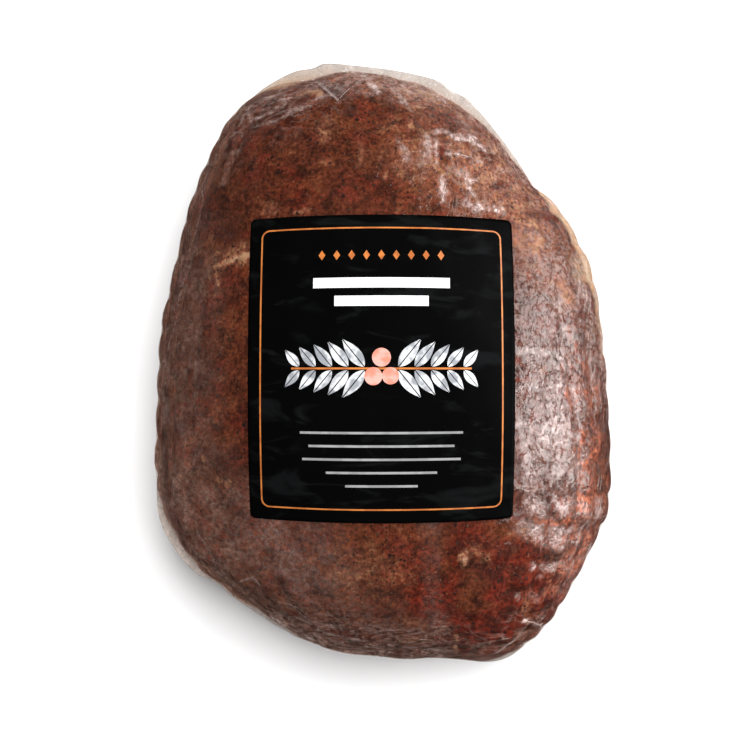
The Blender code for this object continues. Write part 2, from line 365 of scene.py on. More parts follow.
# Where the film lies slack, is pulled crosswise, is ruffled and is dull, in mm of the plan: middle, half
# sizes, turn in degrees and share
SLACK_PLACES = (
    ((-45, 122), (60, 20), 20, 1.0),
    ((30, 100), (70, 40), 0, 1.0),
)
CROSSWISE_PLACE = ((-45, 128), (60, 24), 20)
RUFFLED_PLACES = (
    ((-45, 122), (60, 20), 20, 0.4),
    ((45, 90), (45, 40), 0, 0.6),
)
DULL_PLACES = (
    ((58, 82), (50, 44), 30, 0.85),
    ((50, -112), (40, 34), 0, 0.8),
)
# Milk low on the sides, partly the film's own milk and partly painted light that brightens the left and
# lower rims: its share, the heights where it begins and is full from above, and from below
RIM_HAZE_AND_PAINTED_LIGHT = (
    (0.015, (112 * MM, 72 * MM), (30 * MM, 50 * MM)),
    (0.19, (100 * MM, 62 * MM), (34 * MM, 50 * MM)),
)

# Where the film is milky and where it is crumpled, in mm of the plan: middle, half sizes, turn and share. A
# share below 0 makes the film clearer. The milky places on the right flank are partly a painted reflection
# of the key light, and those on the left and low sides are partly painted light
HAZE_AND_PAINTED_LIGHT_PLACES = (
    ((-46, 124), (42, 12), 22, 0.04),
    ((10, 137), (46, 9), -8, 0.10),
    ((56, 98), (20, 42), 34, 0.06),
    ((20, 128), (40, 14), -10, 0.05),
    ((82, 2), (20, 62), 0, 0.15),
    ((80, -48), (18, 36), 0, 0.23),
    ((100, 30), (8, 60), 4, 0.10),
    ((90, -96), (14, 28), -25, 0.12),
    ((111, 6), (4, 56), 4, 0.26),
    ((-20, 112), (34, 16), 0, -0.06),
    ((-100, -10), (22, 110), 0, 0.13),
    ((58, -112), (40, 30), 0, -0.10),
    ((-70, -95), (50, 34), -35, 0.16),
    ((-28, -105), (14, 40), 0, 0.03),
    ((24, -108), (6, 46), 4, 0.09),
    ((0, -135), (80, 22), 0, 0.09),
)
CRUMPLE_PLACES = (
    ((-45, 125), (46, 15), 22, 0.5),
    ((46, 92), (30, 34), 20, 0.6),
    ((10, -138), (90, 16), -4, 0.8),
    ((-84, 88), (20, 32), -30, 0.15),
    ((70, -128), (34, 16), 40, 0.5),
)
# Streaks and patches of slack, milky film, at places of the view: the line, half its width in mm, and its
# share. Many of them, on the right flank and at the top right, are painted highlights: the key light's
# reflection drawn as pale milk
MILKY_AND_HIGHLIGHT_MARKS = (
    (((251, 126), (262, 124), (272, 121), (282, 118), (288, 115)), 0.6, 0.34),
    (((286, 114), (295, 109), (308, 105), (319, 98), (331, 97)), 1.2, 0.30),
    (((249, 111), (249, 122)), 0.4, 0.40),
    (((251, 119), (259, 116), (269, 113), (277, 107), (282, 101)), 0.7, 0.32),
    (((282, 103), (285, 97)), 1.6, 0.30),
    (((256, 102), (267, 98), (277, 94), (286, 96), (295, 93)), 0.7, 0.34),
    (((268, 105), (276, 101), (288, 99), (298, 96)), 0.5, 0.30),
    (((262, 108), (271, 109), (284, 107)), 0.5, 0.26),
    (((327, 86), (334, 89), (343, 92)), 1.7, 0.30),
    (((346, 86), (356, 83), (366, 80)), 1.2, 0.26),
    (((359, 92), (368, 94), (378, 97)), 1.6, 0.30),
    (((204, 184), (202, 205), (197, 228), (190, 250)), 0.7, 0.20),
    (((196, 244), (188, 270), (182, 285)), 0.9, 0.18),
    (((184, 275), (178, 300), (175, 330)), 1.1, 0.15),
    (((174, 325), (168, 355), (165, 384)), 0.6, 0.22),
    (((200, 330), (196, 370), (195, 420)), 1.0, 0.10),
    (((167, 384), (165, 420), (164, 450)), 1.1, 0.12),
    (((224, 183), (225, 171), (231, 160), (236, 150)), 1.6, 0.12),
    (((231, 136), (240, 121), (250, 107)), 1.0, 0.30),
    (((198, 534), (205, 546), (212, 558), (222, 579)), 1.0, 0.18),
    (((230, 586), (242, 581), (254, 577), (262, 588)), 0.6, 0.22),
    (((393, 88), (401, 98), (410, 111)), 1.5, 0.28),
    (((406, 83), (422, 87), (436, 94), (447, 101)), 1.8, 0.28),
    (((435, 131), (445, 132), (454, 137)), 1.5, 0.34),
    (((453, 137), (464, 138), (475, 142)), 1.8, 0.42),
    (((475, 142), (484, 151)), 1.1, 0.34),
    (((447, 153), (459, 154), (470, 157), (481, 162)), 1.0, 0.34),
    (((428, 139), (430, 150), (422, 161)), 2.2, 0.28),
    (((398, 143), (405, 152), (407, 164)), 1.5, 0.32),
    (((436, 139), (437, 150), (436, 164)), 0.9, 0.36),
    (((442, 179), (444, 190), (442, 200)), 1.8, 0.40),
    (((469, 180), (478, 178)), 1.1, 0.62),
    (((464, 202), (470, 206), (481, 207)), 1.6, 0.46),
    (((491, 209), (503, 213)), 1.3, 0.52),
    (((460, 172), (468, 175)), 1.2, 0.44),
    (((470, 186), (472, 195)), 1.5, 0.42),
    (((515, 351), (542, 352), (561, 359)), 1.5, 0.34),
    (((520, 387), (555, 386), (574, 390)), 1.5, 0.38),
    (((557, 395), (568, 407)), 2.8, 0.35),
    (((516, 389), (545, 388)), 1.2, 0.35),
    (((516, 423), (540, 424), (560, 425)), 1.3, 0.35),
    (((525, 525), (535, 531), (544, 540)), 3.4, 0.55),
    (((556, 530), (564, 534), (558, 543)), 4.2, 0.5),
    (((543, 568), (554, 566), (564, 564)), 1.8, 0.55),
    (((556, 503), (562, 510)), 3.4, 0.4),
    (((528, 508), (538, 511)), 3.6, 0.4),
    (((530, 450), (532, 470)), 5.0, 0.30),
    (((560, 460), (558, 480)), 3.0, 0.35),
    (((576, 466), (577, 484)), 2.2, 0.55),
    (((600, 500), (598, 515)), 1.8, 0.35),
    (((589, 545), (584, 556)), 1.8, 0.40),
    (((574, 562), (566, 585)), 1.4, 0.35),
    (((516, 594), (519, 597)), 0.8, 0.55),
    (((531, 596), (536, 599)), 1.0, 0.40),
    (((539, 577), (542, 578)), 0.7, 0.80),
    (((532, 565), (534, 567)), 0.8, 0.80),
    (((464, 560), (466, 561)), 0.7, 0.60),
    (((362, 73), (371, 85), (377, 94)), 1.7, 0.55),
    (((524, 621), (534, 622), (541, 626), (544, 631)), 0.6, 0.8),
    (((522, 645), (533, 638)), 0.6, 0.9),
    (((494, 654), (508, 645), (520, 636)), 0.8, 0.4),
    (((271, 619), (283, 627), (300, 636), (325, 645)), 0.6, 0.7),
    (((300, 616), (322, 624), (352, 629), (372, 632)), 0.7, 0.28),
    (((318, 630), (345, 638), (366, 642)), 0.6, 0.30),
    (((360, 622), (392, 630), (420, 632)), 0.7, 0.22),
    (((380, 644), (420, 648), (450, 651)), 0.7, 0.30),
    (((593, 511), (587, 520), (581, 528), (576, 544), (570, 558)), 0.7, 0.5),
)
# Gaps between the milky patches, where the meat's colour shows through
CLEAR_MARKS = (
    (((518, 440), (518, 478)), 1.6, 1.0),
    (((550, 462), (550, 472)), 1.1, 1.0),
    (((542, 474), (545, 484)), 1.9, 1.0),
    (((552, 486), (557, 489), (561, 487), (566, 476), (569, 466)), 1.2, 1.0),
    (((569, 488), (576, 490)), 1.3, 0.9),
    (((519, 497), (518, 510), (526, 515)), 2.1, 1.0),
    (((549, 499), (548, 512), (556, 515)), 2.0, 1.0),
    (((514, 520), (538, 521), (556, 524), (574, 521)), 1.6, 1.0),
    (((548, 523), (548, 541)), 0.9, 0.9),
    (((513, 545), (530, 547), (550, 554), (566, 551), (573, 546)), 2.6, 1.0),
    (((515, 540), (505, 530)), 5.0, 1.0),
    (((592, 420), (600, 434), (601, 444), (596, 456), (586, 466)), 2.4, 0.9),
    (((585, 424), (580, 456)), 1.3, 0.9),
    (((584, 466), (592, 480)), 3.0, 0.6),
    (((542, 394), (545, 402)), 1.6, 0.9),
    (((582, 303), (586, 316)), 2.2, 0.8),
    (((569, 389), (572, 410)), 1.6, 0.7),
    (((588, 391), (590, 412)), 1.5, 0.7),
    (((563, 285), (571, 312)), 3.0, 0.6),
    (((530, 575), (550, 582), (566, 578)), 4.0, 0.9),
)

# Folds of the film, at places of the view: the line, half its width and its height in mm, and its share of
# milk
FOLDS = (
    (
        ((249, 115), (250, 124), (259, 125), (270, 121), (284, 117), (299, 110), (313, 104), (329, 101)),
        1.1,
        0.3,
        0.04,
    ),
    (((250, 111), (259, 104), (270, 98), (278, 96)), 0.8, 0.25, 0.04),
    (((259, 125), (270, 117), (284, 111), (298, 107), (318, 97)), 0.9, 0.25, 0.04),
    (((203, 197), (201, 190), (205, 179), (211, 163)), 0.5, 0.2, 0.22),
    (((199, 226), (196, 245), (190, 268), (179, 296), (173, 335), (169, 354)), 0.9, 0.2, 0.03),
    (((196, 360), (195, 392), (196, 419)), 0.9, 0.07, 0.02),
    (((198, 534), (210, 551), (217, 571), (222, 580)), 0.7, 0.2, 0.05),
    (((230, 586), (242, 581), (254, 577), (262, 588)), 0.5, 0.2, 0.08),
    (((318, 84), (327, 91), (338, 101)), 0.5, 0.4, 0.45),
    (((454, 137), (464, 138), (475, 142), (484, 151)), 1.0, 0.35, 0.2),
    (((447, 153), (459, 154), (470, 157), (481, 162)), 0.6, 0.3, 0.2),
    (((442, 180), (444, 190), (442, 200)), 1.0, 0.3, 0.2),
    (((393, 88), (401, 98), (410, 111)), 0.9, 0.25, 0.05),
    (((524, 621), (534, 622), (541, 626), (544, 631)), 0.5, 0.4, 0.4),
    (((522, 645), (533, 638)), 0.4, 0.3, 0.3),
)
# Ripples near the edge: the headings and the share of the width they lie in, their lengths and number
RIPPLES = (
    ((246, 282), (0.02, 0.12), (6, 16), 20),
    ((300, 330), (0.02, 0.09), (6, 16), 10),
    ((-20, 22), (0.01, 0.08), (6, 14), 10),
)
RIPPLE_MILK = 0.07
RIPPLE_POINTS = 7
RIPPLE_HALF = (0.3, 0.6)  # half its width in mm
RIPPLE_HEIGHT = (0.08, 0.2)  # mm
RIPPLE_DRIFT = (-0.015, 0.02)  # along its length, of the ham's reach
RIPPLE_WAVER = (-0.003, 0.003)
FOLD_STEP = 0.8 * MM
# A fold's outline, in half widths across and in heights
FOLD_SECTION = ((-1, -0.3), (-0.5, 0.6), (0, 1), (0.5, 0.6), (1, -0.3), (0, -0.5))
DULL_FOLDS = (-45 * MM, -75 * MM)  # where the left side's folds begin to be dull along X, and are fully so
EAR = ((338, 101), (317, 83), (353, 87))  # the folded corner's tip, left and right, at places of the view
EAR_STEPS = 12
EAR_LIFT = (0.3, 0.4)  # mm off the film, and what is added towards its right end
EAR_MILK = (0.06, 0.6)  # everywhere, and what is added along its left side

# The label
LABEL_CORNER = 2.4 * MM
LABEL_SPREAD = 1.006  # its size over the solid's
LABEL_BOW = (0.015, 0.026)  # how far its sides and its ends come in at the corners, of half its size
LABEL_CELL = 1.5 * MM
LABEL_LIFT = 0.22 * MM
LABEL_THICKNESS = 0.18 * MM
LABEL_PASSES = 10
# Two blacks: the label's own, and a lighter one along its creases that is a painted sheen
LABEL_BLACK_AND_SHEEN = ((0.0012, 0.0012, 0.0012), (0.0045, 0.0048, 0.0050))

# The label's print, in mm round the label's middle
PRINT_LIFT = 0.08 * MM
PRINT_CELL = 2.0 * MM
# Each piece of the print: its ink's name and two tones
INKS = {
    "white_bars": ("white_ink", (0.68, 0.68, 0.68), (0.62, 0.62, 0.62)),
    "copper_border": ("copper_ink", (0.46, 0.15, 0.035), (0.34, 0.10, 0.025)),
    # The silver ink's light and dark tones are a painted reflection, standing for the shine of silver print
    "silver_leaves": ("silver_ink", (0.58, 0.59, 0.60), (0.24, 0.25, 0.27)),
    "salmon_berries": ("salmon_ink", (0.62, 0.20, 0.14), (0.60, 0.32, 0.27)),
    "grey_bars": ("grey_ink", (0.26, 0.26, 0.26), (0.20, 0.20, 0.20)),
}
BORDER_HALF = (57.0, 66.2)
BORDER_CORNER = 4.0
BORDER_WIDTH = 0.7
STRAIGHT_PARTS = 40
CORNER_POINTS = 7
DIAMONDS = 9
DIAMOND_STEP = 7.0
DIAMOND_PLACE = 53.0  # how high the row lies
DIAMOND_SIZE = (3.2, 4.6)
WHITE_BARS = ((40.0, 64), (31.5, 44))  # how high they lie and how wide they are
WHITE_BAR_HEIGHT = 4.8
STEM_SIZE = (84, 0.9)
LEAF_PAIRS = 5
LEAF_FIRST = 8.0
LEAF_STEP = 7.6
LEAF_REACH = 13.5  # how far the first leaf's tip is from the stem
LEAF_SHORTER = 1.2  # how much less each leaf reaches than the one before
LEAF_LEAN = 0.75  # how far its tip goes along the stem, of its reach
LEAF_WIDTH = 6.4
LEAF_NARROWER = 0.5
LEAF_OFF_STEM = 0.9
LEAF_POINTS = 15
BERRIES = ((0, 5.2, 4.4), (-3.8, -3.6, 4.2), (4.2, -3.4, 4.0))  # their places and radii
BERRY_POINTS = 24
GREY_WIDTHS = (76, 68, 74, 52, 34)
GREY_FIRST = -30.0
GREY_STEP = 6.2
GREY_HEIGHT = 1.1

# The studio. The background is what the camera sees, what lights the ham, and what gloss shows
BACKGROUNDS = (
    ((0.93, 0.93, 0.93), 1.0),
    ((0.95, 0.97, 1.0), 0.08),
    ((1.0, 0.95, 0.9), 0.015),
)
FLOOR_HALF = 4.0
FLOOR_COLOUR = (0.88, 0.88, 0.88)
LIGHT_AIM = (0.0, 0.0, WIDEST)
# Each light's place, size and power in watts, and whether gloss shows it
LIGHTS = {
    "key": ((1.25, 0.25, 0.75), (1.8, 1.3), 29.0, True),
    "fill": ((0.15, 0.52, 2.1), (1.3, 1.3), 76.0, False),
}


# ---------------------------------------------------------------------------------------------
# Numbers over a surface
# ---------------------------------------------------------------------------------------------


def lattice(cells, seed):
    """A number from 0 to 1 for each whole-numbered point, the same each time."""
    x, y, z = (cells[..., i].astype(np.int64) for i in range(3))
    mixed = (x * 73856093) ^ (y * 19349663) ^ (z * 83492791) ^ (seed * 2654435761)
    mixed = (mixed ^ (mixed >> 13)) * 1274126177
    return ((mixed ^ (mixed >> 16)) & 0xFFFF) / 65535.0


def soft_noise(points, size, seed):
    """Smooth noise from -1 to 1 over points, whose lumps are about that size."""
    place = points / size + 1000.0
    cell = np.floor(place)
    part = place - cell
    part = part * part * (3 - 2 * part)
    total = 0.0
    for dx in (0, 1):
        for dy in (0, 1):
            for dz in (0, 1):
                weight = (
                    (part[..., 0] if dx else 1 - part[..., 0])
                    * (part[..., 1] if dy else 1 - part[..., 1])
                    * (part[..., 2] if dz else 1 - part[..., 2])
                )
                total = total + weight * lattice(cell + (dx, dy, dz), seed)
    return total * 2 - 1


def ease(low, high, value):
    """0 below low, 1 above high and smooth between."""
    t = np.clip((value - low) / (high - low), 0.0, 1.0)
    return t * t * (3 - 2 * t)


def patch(points, centre, half, turn=0.0):
    """1 in the middle of an oval of the plan and 0 outside it. Sizes are in mm, and turn in degrees."""
    x = points[..., 0] / MM - centre[0]
    y = points[..., 1] / MM - centre[1]
    c, s = np.cos(radians(turn)), np.sin(radians(turn))
    along = (x * c + y * s) / half[0]
    across = (-x * s + y * c) / half[1]
    return np.exp(-((along**2 + across**2) ** 1.5))


def patches(points, places):
    """The shares of several ovals added up: each has a middle, half sizes, a turn and a share."""
    return sum(share * patch(points, middle, half, turn) for middle, half, turn, share in places)


def heading_of(points):
    """The heading of each point from the ham's middle, in degrees of the plan from +X."""
    return np.degrees(np.arctan2(points[..., 1], points[..., 0]))


def bell(heading, centre, spread):
    """1 at a heading and falling away on both sides of it, in degrees."""
    off = (heading - centre + 180) % 360 - 180
    return np.exp(-((off / spread) ** 2))


def bells(heading, turns):
    """The shares of several headings added up: each has a heading, how wide a turn and a share."""
    return sum(share * bell(heading, centre, spread) for centre, spread, share in turns)


def seen_at(tree, place):
    """What the camera sees of the ham at a place of its view, or that place at the ham's widest height."""
    across, down = (np.array(place) / VIEW_PARTS - 0.5) * FRAME_AT_WIDEST
    eye = Vector((*VIEW_MIDDLE, CAMERA_HEIGHT))
    aim = Vector((VIEW_MIDDLE[0] + across, VIEW_MIDDLE[1] - down, WIDEST))
    return np.array(tree.ray_cast(eye, aim - eye)[0] or aim)


def marked(tree, points, marks):
    """How much of the drawn marks lies on each point that the camera sees, from 0 to 1."""
    plan = points[..., :2]
    wander = np.stack([soft_noise(points, MARK_WAVE, SEED + number) for number in (30, 31)], axis=-1)
    seen = points[..., 2] > WIDEST - SIGHT_DEPTH
    total = np.zeros(points.shape[:-1])
    for line, half, share in marks:
        found = [seen_at(tree, place)[:2] for place in line]
        least, most = np.min(found, axis=0) - 3 * half * MM, np.max(found, axis=0) + 3 * half * MM
        near = seen & np.all((plan > least) & (plan < most), axis=-1)
        place = plan[near] + wander[near] * half * MARK_WANDER * MM
        away = np.full(len(place), 1.0)
        for start, end in zip(found[:-1], found[1:]):
            along = end - start
            t = np.clip((place - start) @ along / (along @ along + 1e-12), 0, 1)
            away = np.minimum(away, np.linalg.norm(place - start - t[:, None] * along, axis=-1))
        total[near] = np.maximum(total[near], share * np.exp(-((away / (half * MM)) ** MARK_EDGE)))
    worn = 0.75 + 0.45 * soft_noise(points, 6 * MM, SEED + 32) + 0.3 * soft_noise(points, 2.4 * MM, SEED + 33)
    return np.clip(total * worn, 0, 1)


def smoothed(values, passes):
    """The grid's values, each moved towards its neighbours that many times."""
    for _ in range(passes):
        around = (np.roll(values, 1, axis=1) + np.roll(values, -1, axis=1)) / 2
        along = values.copy()
        along[1:-1] = (values[:-2] + values[2:]) / 2
        values = (2 * values + around + along) / 4
    return values


# ---------------------------------------------------------------------------------------------
# Meshes
# ---------------------------------------------------------------------------------------------


def new_object(name, mesh):
    made = bpy.data.objects.new(name, mesh)
    bpy.context.scene.collection.objects.link(made)
    return made


def merged_tree(node):
    """A tree for finding points on a CAD node, made from a merged copy of its mesh."""
    copy = bmesh.new()
    copy.from_mesh(node.data)
    bmesh.ops.remove_doubles(copy, verts=copy.verts[:], dist=0.001 * MM)
    tree = BVHTree.FromBMesh(copy)
    copy.free()
    return tree


def mesh_from(name, points, faces):
    mesh = bpy.data.meshes.new(name)
    mesh.from_pydata([tuple(p) for p in points], [], faces)
    mesh.shade_smooth()
    mesh.update()
    return mesh


def tree_of(piece):
    """A tree for finding points on a finished piece."""
    return BVHTree.FromObject(piece, bpy.context.evaluated_depsgraph_get())


def strips(rows, columns):
    """The number of each point of a grid, and of the next one round, as two grids."""
    index = np.arange(rows * columns).reshape(rows, columns)
    return index, np.roll(index, -1, axis=1)


def add_values(mesh, name, values):
    layer = mesh.attributes.new(name, "FLOAT", "POINT")
    layer.data.foreach_set("value", np.asarray(values, np.float32).ravel())


def closed_grid(name, grid, north, south):
    """A closed mesh from rings of points with a pole at each end."""
    rows, columns = grid.shape[:2]
    points = np.vstack([grid.reshape(-1, 3), [north], [south]])
    index, right = strips(rows, columns)
    quads = np.stack([index[:-1], right[:-1], right[1:], index[1:]], axis=-1).reshape(-1, 4)
    top = [(rows * columns, int(b), int(a)) for a, b in zip(index[0], right[0])]
    bottom = [(rows * columns + 1, int(a), int(b)) for a, b in zip(index[-1], right[-1])]
    mesh = mesh_from(name, points, quads.tolist() + top + bottom)
    shell = bmesh.new()
    shell.from_mesh(mesh)
    bmesh.ops.recalc_face_normals(shell, faces=shell.faces[:])
    shell.to_mesh(mesh)
    shell.free()
    mesh.shade_smooth()
    return mesh


def with_poles(values):
    """A grid of values as one list, with a value for each pole at its end."""
    return np.concatenate([values.ravel(), [values[0].mean()], [values[-1].mean()]])


# ---------------------------------------------------------------------------------------------
# Shader nodes
# ---------------------------------------------------------------------------------------------


def new_material(name):
    material = bpy.data.materials.new(name)
    material.use_nodes = True
    material.node_tree.nodes.clear()
    return material, material.node_tree


def plug(tree, socket, value):
    if isinstance(value, bpy.types.NodeSocket):
        tree.links.new(value, socket)
    elif isinstance(value, tuple) and len(value) == 3 and socket.type == "RGBA":
        socket.default_value = (*value, 1.0)
    else:
        socket.default_value = value


def node(tree, kind, settings=None, **values):
    made = tree.nodes.new(kind)
    for key, value in (settings or {}).items():
        setattr(made, key, value)
    for key, value in values.items():
        plug(tree, made.inputs[key.replace("_", " ")], value)
    return made


def blend(tree, share, first, second, how="MIX"):
    """Two colours mixed: the second where share is 1."""
    made = node(tree, "ShaderNodeMix", {"data_type": "RGBA", "blend_type": how})
    for number, value in ((0, share), (6, first), (7, second)):
        plug(tree, made.inputs[number], value)
    return made.outputs[2]


def sums(tree, how, first, second=0.0, clamp=False):
    made = node(tree, "ShaderNodeMath", {"operation": how, "use_clamp": clamp})
    plug(tree, made.inputs[0], first)
    plug(tree, made.inputs[1], second)
    return made.outputs[0]


def times(tree, first, second):
    return sums(tree, "MULTIPLY", first, second)


def plus(tree, first, second):
    return sums(tree, "ADD", first, second)


def between(tree, value, low, high, to_low=0.0, to_high=1.0):
    made = node(
        tree,
        "ShaderNodeMapRange",
        {"interpolation_type": "SMOOTHSTEP"},
        Value=value,
        From_Min=low,
        From_Max=high,
        To_Min=to_low,
        To_Max=to_high,
    )
    return made.outputs["Result"]


def noise(tree, place, size, detail=2.0, roughness=0.5, distortion=0.0):
    made = node(
        tree,
        "ShaderNodeTexNoise",
        Vector=place,
        Scale=1.0 / size,
        Detail=detail,
        Roughness=roughness,
        Distortion=distortion,
    )
    return made.outputs["Fac"]


def scattered_spots(tree, place, size, share, radius):
    """Round spots of uneven size in a share of the cells, 1 at their middle."""
    cells = node(tree, "ShaderNodeTexVoronoi", Vector=place, Scale=1.0 / size, Randomness=1.0)
    parts = node(tree, "ShaderNodeSeparateColor", Color=cells.outputs["Color"])
    reach = between(tree, parts.outputs["Red"], 1.0 - share, 1.0, 0.0, radius)
    edge = sums(tree, "SUBTRACT", reach, cells.outputs["Distance"])
    return between(tree, edge, 0.0, 0.12)


def stretched(tree, place, stretch):
    """Object coordinates squeezed, so that a pattern on them is drawn out the other way."""
    return node(tree, "ShaderNodeMapping", Vector=place, Scale=stretch).outputs["Vector"]


def value_mix(tree, share, first, second):
    made = node(tree, "ShaderNodeMix", {"data_type": "FLOAT"})
    for number, value in ((0, share), (2, first), (3, second)):
        plug(tree, made.inputs[number], value)
    return made.outputs[0]


def grey(tree, value):
    """A number as a grey colour."""
    return node(tree, "ShaderNodeCombineColor", Red=value, Green=value, Blue=value).outputs[0]


def mixed(tree, share, first, second):
    """Two shaders mixed: the second where share is 1."""
    made = node(tree, "ShaderNodeMixShader", Fac=share)
    tree.links.new(first.outputs[0], made.inputs[1])
    tree.links.new(second.outputs[0], made.inputs[2])
    return made


def painted(tree, name):
    return node(tree, "ShaderNodeAttribute", {"attribute_name": name}).outputs["Fac"]


def object_place(tree):
    return node(tree, "ShaderNodeTexCoord").outputs["Object"]


def finish_with(tree, shader):
    node(tree, "ShaderNodeOutputMaterial", Surface=shader)


# ---------------------------------------------------------------------------------------------
# Finishes
# ---------------------------------------------------------------------------------------------


def smoked_meat():
    material, tree = new_material("smoked_meat")
    place = object_place(tree)
    paint = MEAT_COLOURS
    tanned, fatty = painted(tree, "tan"), painted(tree, "fat")
    broad = noise(tree, place, 26 * MM, 3.0)
    patchy = noise(tree, place, 12 * MM, 3.0, 0.55, 0.6)
    middling = noise(tree, place, 7 * MM, 4.0, 0.62, 0.4)
    mottle = noise(tree, place, 3.4 * MM, 2.0, 0.6, 0.8)
    fine = noise(tree, place, 1.9 * MM, 3.0, 0.65)
    speckle = noise(tree, place, 1.4 * MM, 2.0, 0.5, 1.2)
    grain = noise(tree, stretched(tree, place, (1.0, 0.4, 1.0)), 1.2 * MM, 2.0, 0.6)

    crust = blend(tree, between(tree, broad, 0.40, 0.60), paint["crust"], paint["brown crust"])
    for pattern, low, high, tone in (
        (patchy, 0.50, 0.66, "red crust"),
        (middling, 0.48, 0.68, "dark crust"),
        (middling, 0.42, 0.26, "light crust"),
    ):
        crust = blend(tree, between(tree, pattern, low, high), crust, paint[tone])
    spiced = times(tree, painted(tree, "spice"), between(tree, fine, 0.62, 0.42))
    colour = blend(tree, spiced, crust, paint["spiced"])

    red = blend(tree, between(tree, middling, 0.35, 0.65), paint["red"], paint["deep red"])
    wet = blend(tree, between(tree, fine, 0.35, 0.65), paint["wet"], paint["deep wet"])
    tan = blend(tree, between(tree, tanned, 0.45, 1.0), paint["tan"], paint["pale tan"])
    fat = blend(tree, between(tree, middling, 0.35, 0.65), paint["fat"], paint["white fat"])
    colour = blend(tree, painted(tree, "red"), colour, red)
    # Wet meat, and painted fill light on the sides turned from the light
    colour = blend(tree, painted(tree, "wet"), colour, wet)
    colour = blend(tree, between(tree, tanned, 0.0, 0.7), colour, tan)
    colour = blend(tree, painted(tree, "dark"), colour, paint["dark"])
    browned = times(tree, between(tree, tanned, 0.05, 0.5), between(tree, mottle, 0.52, 0.58))
    browned = times(tree, browned, between(tree, tanned, 0.6, 0.9, 0.8, 0.0))
    colour = blend(tree, browned, colour, paint["browned"])
    yellowed = times(tree, tanned, between(tree, mottle, 0.45, 0.38))
    colour = blend(tree, times(tree, yellowed, 0.8), colour, paint["yellowed"])
    colour = blend(tree, fatty, colour, fat)

    # Fine light and dark, weaker where the meat is pale
    pale = sums(tree, "MAXIMUM", fatty, between(tree, tanned, 0.6, 0.9))
    lean = between(tree, pale, 0.3, 0.9, 1.0, 0.35)
    shade = times(tree, between(tree, fine, 0.32, 0.68, 1.45, 0.60), between(tree, grain, 0.3, 0.7, 1.2, 0.8))
    shade = plus(tree, times(tree, sums(tree, "SUBTRACT", shade, 1.0), lean), 1.0)
    colour = blend(tree, 1.0, colour, grey(tree, shade), "MULTIPLY")

    # Ground pepper, cracked peppercorns and light flecks
    peppered = times(tree, lean, between(tree, tanned, 0.6, 0.85, 1.0, 0.1))
    peppered = times(tree, between(tree, patchy, 0.35, 0.60, 0.2, 1.0), peppered)
    pepper = scattered_spots(tree, place, 1.7 * MM, 0.6, 0.44)
    corns = scattered_spots(tree, place, 3.1 * MM, 0.35, 0.36)
    colour = blend(tree, times(tree, pepper, peppered), colour, paint["pepper"])
    colour = blend(tree, times(tree, corns, peppered), colour, paint["peppercorn"])
    flecks = between(tree, plus(tree, speckle, times(tree, broad, 0.25)), 0.80, 0.86)
    colour = blend(tree, times(tree, flecks, 0.5), colour, paint["fleck"])

    height = plus(tree, times(tree, fine, 0.8), times(tree, pepper, 0.4))
    bump = node(tree, "ShaderNodeBump", Strength=0.8, Distance=0.6 * MM, Height=height)
    shader = node(
        tree,
        "ShaderNodeBsdfPrincipled",
        Base_Color=colour,
        Roughness=0.6,
        Normal=bump.outputs["Normal"],
        Specular_IOR_Level=0.08,
    )
    finish_with(tree, shader.outputs[0])
    return material


